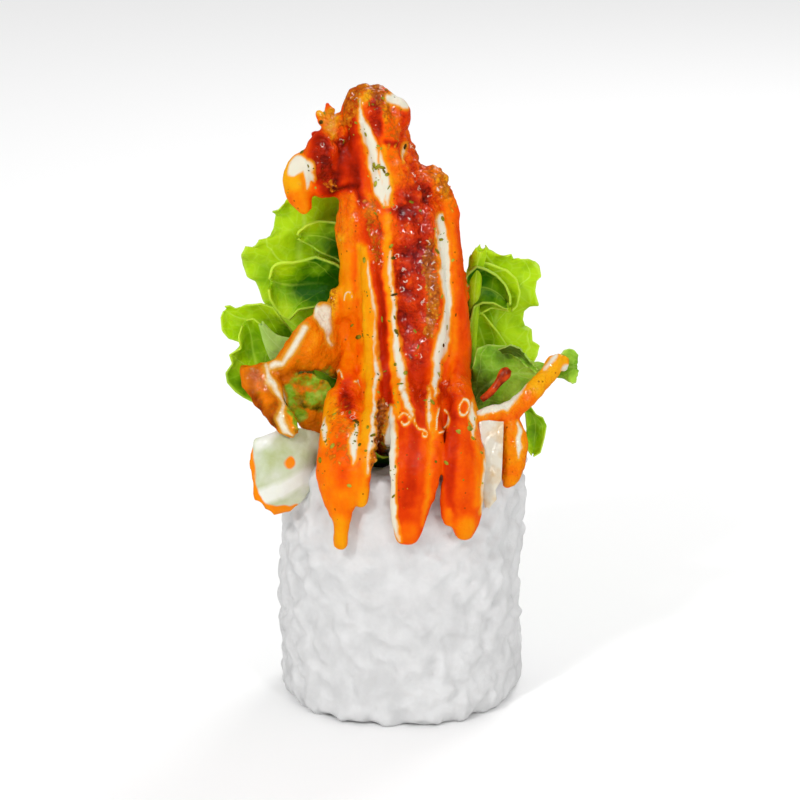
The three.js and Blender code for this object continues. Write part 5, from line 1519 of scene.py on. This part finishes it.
def sauced_leaf(name, shells, redness, bareness, mayonnaise, node, material):
    """A sauced leaf: its sheets and strands melted into one skin with small ripples, and painted."""
    piece = fused_piece(name, shells, voxel=0.28, rounds=5)
    spots = points_of(piece)
    brushed = spots + 0.4 * soft_noise(spots, 1.6, seed=32)[:, None] * (1, 0, 1)
    ripples = 0.28 * soft_noise(spots, 2.0, seed=31) + 0.14 * soft_noise(spots, 0.9, seed=34)
    spots += normals_of(piece) * ripples[:, None]
    move_points(piece, spots)
    store(piece, "red", painted(brushed, 0.45 + 0.15 * soft_noise(spots, 3.0, seed=33), redness))
    store(piece, "bare", painted(brushed, 0 * brushed[:, 0], bareness))
    store(piece, "mayonnaise", depth_in_any(brushed, mayonnaise))
    store(piece, "relief", ripples)
    store(piece, "rough", 0.35)
    piece.data.materials.append(material)
    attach(piece, "root")
    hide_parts(node)
    return piece


arm_shells = [
    leaf_lobe(UPPER_ARM_EDGES, (-0.5, -7.2, -8.4, -8), cup=-0.8, ruffle=0.5, thick=2.0)[:2],
    leaf_lobe(LOWER_ARM_EDGES, (-8, -10.6, -14.4, -16.4), cup=-0.8, ruffle=0.4, thick=2.0)[:2],
    leaf_lobe(INNER_FOLD_EDGES, (-9, -9.4, -9, -8.6), cup=0.6, ruffle=0.7, thick=1.0)[:2],
    leaf_foot(224, 250, 48)[:2],
]
sauced_leaf(
    "lettuce_left_sauced_leaf", arm_shells, ARM_REDNESS, ARM_BARENESS, ARM_MAYONNAISE,
    "lettuce_left_sauced", sauced_green,
)

BLADE_EDGES = (
    [
        (10.4, 46.0), (13.9, 54.2), (16.0, 54.4), (18.9, 54.3), (21.1, 55.4), (23.6, 57.1), (25.0, 58.7),
        (27.2, 60.0), (29.3, 59.7), (31.0, 59.4), (31.6, 61.4),
    ],
    [
        (10.8, 46.4), (12.4, 60.3), (13.5, 65.6), (16.4, 65.8), (19.6, 65.6), (21.1, 64.9), (22.5, 63.5),
        (23.8, 62.3), (26.5, 62.7), (27.9, 64.4), (29.0, 65.3), (30.8, 65.1), (31.5, 63.9), (31.3, 62.9),
    ],
)
BLADE_GRID = (160, 35)
BLADE_FOLD_EDGES = (
    [(17.2, 65.6), (19.4, 66.6), (21.0, 66.2), (22.6, 64.2), (24.2, 62.2)],
    [(18.0, 64.8), (19.4, 65.0), (20.8, 64.2), (22.2, 62.8), (24.0, 61.6)],
)
# A strand of sauce along the edge, and one that runs down from it, as rows like those of CURLED_TAIL.
RIGHT_STRIP = [
    (12.8, -15.0, 54.6, 1.3, 1.0), (15.8, -14.2, 55.4, 1.9, 1.3), (18.8, -12.8, 55.6, 2.0, 1.3),
    (21.4, -11.0, 57.0, 1.7, 1.3), (23.8, -9.6, 59.2, 1.6, 1.3), (26.2, -8.2, 61.8, 1.6, 1.3),
    (27.6, -7.4, 63.4, 1.7, 1.2), (29.4, -6.6, 62.8, 1.2, 0.9),
]
RIGHT_FLOW = [
    (18.4, -13.0, 56.0, 1.8, 1.2), (19.6, -13.8, 53.0, 2.1, 1.4), (20.0, -14.4, 49.6, 2.4, 1.5),
    (19.6, -15.2, 46.4, 2.1, 1.4), (18.9, -15.8, 44.2, 1.4, 1.1), (18.4, -16.0, 42.8, 0.5, 0.5),
]
STRIP_REDNESS = [
    (0.28, 1.0, [(14, 54, 2.0), (20, 55, 2.0), (24, 58, 2.0)]),
    (0.03, 1.2, [(24.5, 60.4, 2.0), (28, 63.6, 2.0)]),
    (0.42, 0.6, [(17.4, 54.6, 0.5), (20.4, 55.2, 0.4)]),
    (0.27, 1.0, [(20.0, 52, 3.0), (19.2, 43, 3.0)]),
]
STRIP_BARENESS = [(0.5, 0.6, [(30.8, 62.0, 0.3), (31.4, 62.6, 0.3)])]
STRIP_MAYONNAISE = [
    [(12.4, 56.6, 0.9), (15.4, 57.2, 1.0), (18.6, 57.2, 0.7), (20.6, 58.6, 0.5), (22.6, 60.8, 0.3)],
    [(20.4, 54.2, 0.1), (20.7, 52.4, 0.5), (20.9, 50.2, 0.5), (20.8, 48.4, 0.1)],
    [(29.0, 62.4, 0.8), (30.6, 62.0, 0.8)],
    [(25.4, 62.8, 0.3), (27.4, 64.8, 0.4)],
]
right_blade = leaf_piece(
    "lettuce_right_blade",
    [
        leaf_foot(296, 344, 48),
        leaf_lobe(
            BLADE_EDGES, (-6, -5.5, -5, -6),
            cup=-0.6, ruffle=1.6, waves=4.6, painted_shade=0.15, thick=0.7, grid=BLADE_GRID,
        ),
        leaf_lobe(BLADE_FOLD_EDGES, (-6.4, -7.0, -7.2, -7.2), cup=0.5, ruffle=0.4, painted_shade=0.7, thick=0.6),
    ],
)
blade_green = leaf_material(
    "smeared_lettuce_leaf",
    light=(0.36, 0.60, 0.045),
    middle=(0.17, 0.37, 0.012),
    dark=(0.055, 0.10, 0.004),
    pale=(0.46, 0.64, 0.12),
    mottling=2.0,
    lumps=0.0009,
)
right_blade.data.materials.append(blade_green)
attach(right_blade, "root")
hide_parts("lettuce_right_sauced")

strip_shells = [rope(RIGHT_STRIP, (0, -1, 0.2)), rope(RIGHT_FLOW, (0.3, -1, 0))]
sauced_leaf(
    "sauce_on_right_leaf", strip_shells, STRIP_REDNESS, STRIP_BARENESS, STRIP_MAYONNAISE,
    "lettuce_right_sauced", glaze,
)

# A thin film of mayonnaise hangs between the right drip and the flow of sauce beside it.
FILM_EDGES = (
    [(13.6, 55.4), (14.0, 50.0), (14.0, 45.0), (14.2, 42.6), (14.8, 40.0)],
    [(18.0, 54.8), (17.8, 49.0), (17.6, 45.0), (16.6, 43.4), (16.8, 41.6), (15.4, 39.8)],
)
film = leaf_piece("mayonnaise_film", [leaf_lobe(FILM_EDGES, (-15.4, -17.6, -18.6, -18.8), thick=0.8)])
thin_mayonnaise = clouded_material(
    "thin_mayonnaise",
    clouds=(260, 3),
    stops=[(0.30, 0.62, 0.44, 0.22), (0.52, 0.70, 0.66, 0.56)],
    bumps=(700, 3, 0.0002),
    Roughness=0.2,
    Coat_Weight=0.3,
    Coat_Roughness=0.05,
    Subsurface_Weight=0.4,
    Subsurface_Scale=0.001,
    Subsurface_Radius=(1, 1, 0.8),
)
film.data.materials.append(thin_mayonnaise)
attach(film, "root")
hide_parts("lettuce_right_sauced")

# A drop of clear chili paste with its tail.
CHILI_DROP = [
    (14.2, -10.4, 57.4, 0.6, 0.5), (15.8, -9.8, 58.6, 0.7, 0.6), (17.2, -9.2, 60.2, 0.75, 0.7),
    (18.4, -8.8, 61.8, 1.15, 1.0), (19.2, -8.7, 62.6, 0.6, 0.6),
]
chili = fused_piece("chili_drop", [rope(CHILI_DROP, (0, -1, 0))], voxel=0.2, rounds=4)
chili_paste = clouded_material(
    "chili_paste",
    clouds=(700, 3),
    stops=[(0.38, 0.20, 0.012, 0.001), (0.62, 0.62, 0.060, 0.004)],
    bumps=(900, 2, 0.0001),
    Roughness=0.3,
    Specular_IOR_Level=0.05,
    Coat_Weight=0.4,
    Coat_Roughness=0.02,
)
chili.data.materials.append(chili_paste)
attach(chili, "root")
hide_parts("lettuce_right_sauced")

# ---- pale leaf heart ----
# The thick, almost white heart of a lettuce leaf, which hooks over the rim. Mayonnaise lies on it, and
# orange sauce has run under its lower edge.
HEART_EDGES = (
    [
        (-9.6, 44.6), (-14.0, 48.2), (-15.6, 46.0), (-15.4, 42.4), (-17.6, 39.8), (-19.6, 38.2),
        (-22.6, 37.9),
    ],
    [
        (-11.0, 45.4), (-13.6, 50.6), (-17.6, 52.6), (-22.0, 52.6), (-25.6, 51.0), (-26.6, 46.8),
        (-25.6, 40.4),
    ],
)
HEART_LEFTMOST = -28
# Where sauce and mayonnaise lie, in strokes of x, z and half width.
HEART_SAUCE = [
    [(-26.8, 49.5, 0.6), (-26.4, 44.0, 0.7), (-25.6, 39.8, 1.6), (-22.4, 38.2, 1.6), (-19.0, 39.0, 0.5)],
    [(-19.6, 47.4, 0.75), (-19.5, 47.2, 0.75)],
]
HEART_MAYONNAISE = [
    [(-14.6, 44.6, 1.6), (-17.6, 44.4, 1.5), (-21.4, 42.4, 1.6), (-24.4, 41.6, 1.4)],
    [(-22.6, 52.8, 1.2), (-25.0, 50.4, 1.0)],
]

heart_foot = leaf_foot(199, 218, 47)
heart_lobe = leaf_lobe(HEART_EDGES, (-7.6, -12.6, -15.4, -16.6), cup=-1.6, ruffle=0.3, waves=2, thick=2.2)
heart = fused_piece("lettuce_heart_leaf", [heart_lobe[:2], heart_foot[:2]], voxel=0.3, rounds=6)
spots = points_of(heart)
heart_lumps = 0.25 * soft_noise(spots, 3.4, seed=41) + 0.25 * crumbs(spots, 3.6, seed=44)
spots += normals_of(heart) * (heart_lumps - 0.1)[:, None]
spots[:, 0] = np.maximum(spots[:, 0], HEART_LEFTMOST)
move_points(heart, spots)
brushed = spots + 0.4 * soft_noise(spots, 1.4, seed=43)[:, None] * (1, 0, 1)
store(heart, "cover", depth_in_any(brushed, HEART_SAUCE))
store(heart, "mayonnaise", depth_in_any(brushed, HEART_MAYONNAISE))
heart_material, tree, shader = principled("pale_leaf_and_mayonnaise")
leaf_stops = [(0.32, 0.43, 0.48, 0.22), (0.5, 0.53, 0.58, 0.38), (0.7, 0.63, 0.65, 0.54)]
pale = ramp(tree, noise(tree, 230, 4), leaf_stops)
white = mix(tree, share_of(tree, stored(tree, "mayonnaise"), -0.4, 0.6), pale, (0.76, 0.77, 0.70))
colour = mix(tree, share_of(tree, stored(tree, "cover"), -0.25, 0.1), white, (0.86, 0.24, 0.0))
tree.links.new(colour, shader.inputs["Base Color"])
set_inputs(shader, Roughness=0.35, Specular_IOR_Level=0.1, Coat_Weight=0.12, Coat_Roughness=0.04)
set_inputs(shader, Subsurface_Weight=0.35, Subsurface_Scale=0.0012, Subsurface_Radius=(1, 1, 0.7))
bumped(tree, shader, noise(tree, 600, 3), 0.0002)
heart.data.materials.append(heart_material)
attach(heart, "root")
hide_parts("lettuce_heart")

# ---- herb flakes ----
# Dried green herb, crushed and sprinkled over the sauce: thin flakes, most of them half a millimetre long.
# They stick to the front of the glaze, more of them along the edges of the mayonnaise than elsewhere.
FLAKES = 260
LOWEST_FLAKE = 44
WRINKLE_CLEARANCE = 1.2


def flake_shells(places, normals):
    """Flat ovals with six corners, each turned at random on the surface that it lies on."""
    count = len(places)
    sphere, faces = ball(rings=2, around=6)
    length = 0.18 + 0.6 * draw.uniform(0, 1, (count, 1, 1)) ** 2.5
    sizes = length * draw.uniform((0.8, 0.3, 0.1), (1.2, 0.8, 0.2), (count, 1, 3))
    turn = draw.uniform(0, 2 * np.pi, (count, 1))
    long, side = along_surface(normals, [0.31, 0.11, 0.94], turn)
    return strewn(sphere, faces, places, (long, side, normals), sizes)


shrimp_points, shrimp_normals = points_of(shrimp), normals_of(shrimp)
facing = (shrimp_normals[:, 1] < -0.2) & (shrimp_points[:, 2] > LOWEST_FLAKE)
liked = np.clip(0.25 + soft_noise(shrimp_points * (1, 1, 0.5), 4.0, seed=51), 0.02, 1)
liked = (liked + 1.4 * (np.abs(whiteness) < 0.8)) * (folds < -WRINKLE_CLEARANCE)
seen = np.flatnonzero(facing)
chosen = draw.choice(seen, FLAKES, replace=False, p=liked[seen] / liked[seen].sum())
flakes = solid_piece("herb_flakes", [flake_shells(shrimp_points[chosen], shrimp_normals[chosen])])
dried_herb = clouded_material(
    "dried_herb",
    clouds=(300, 3),
    stops=[(0.33, 0.07, 0.030, 0.001), (0.46, 0.22, 0.20, 0.006), (0.62, 0.42, 0.40, 0.04)],
    Roughness=0.6,
    Specular_IOR_Level=0.05,
)
flakes.data.materials.append(dried_herb)
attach(flakes, "root")
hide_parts("shrimp")
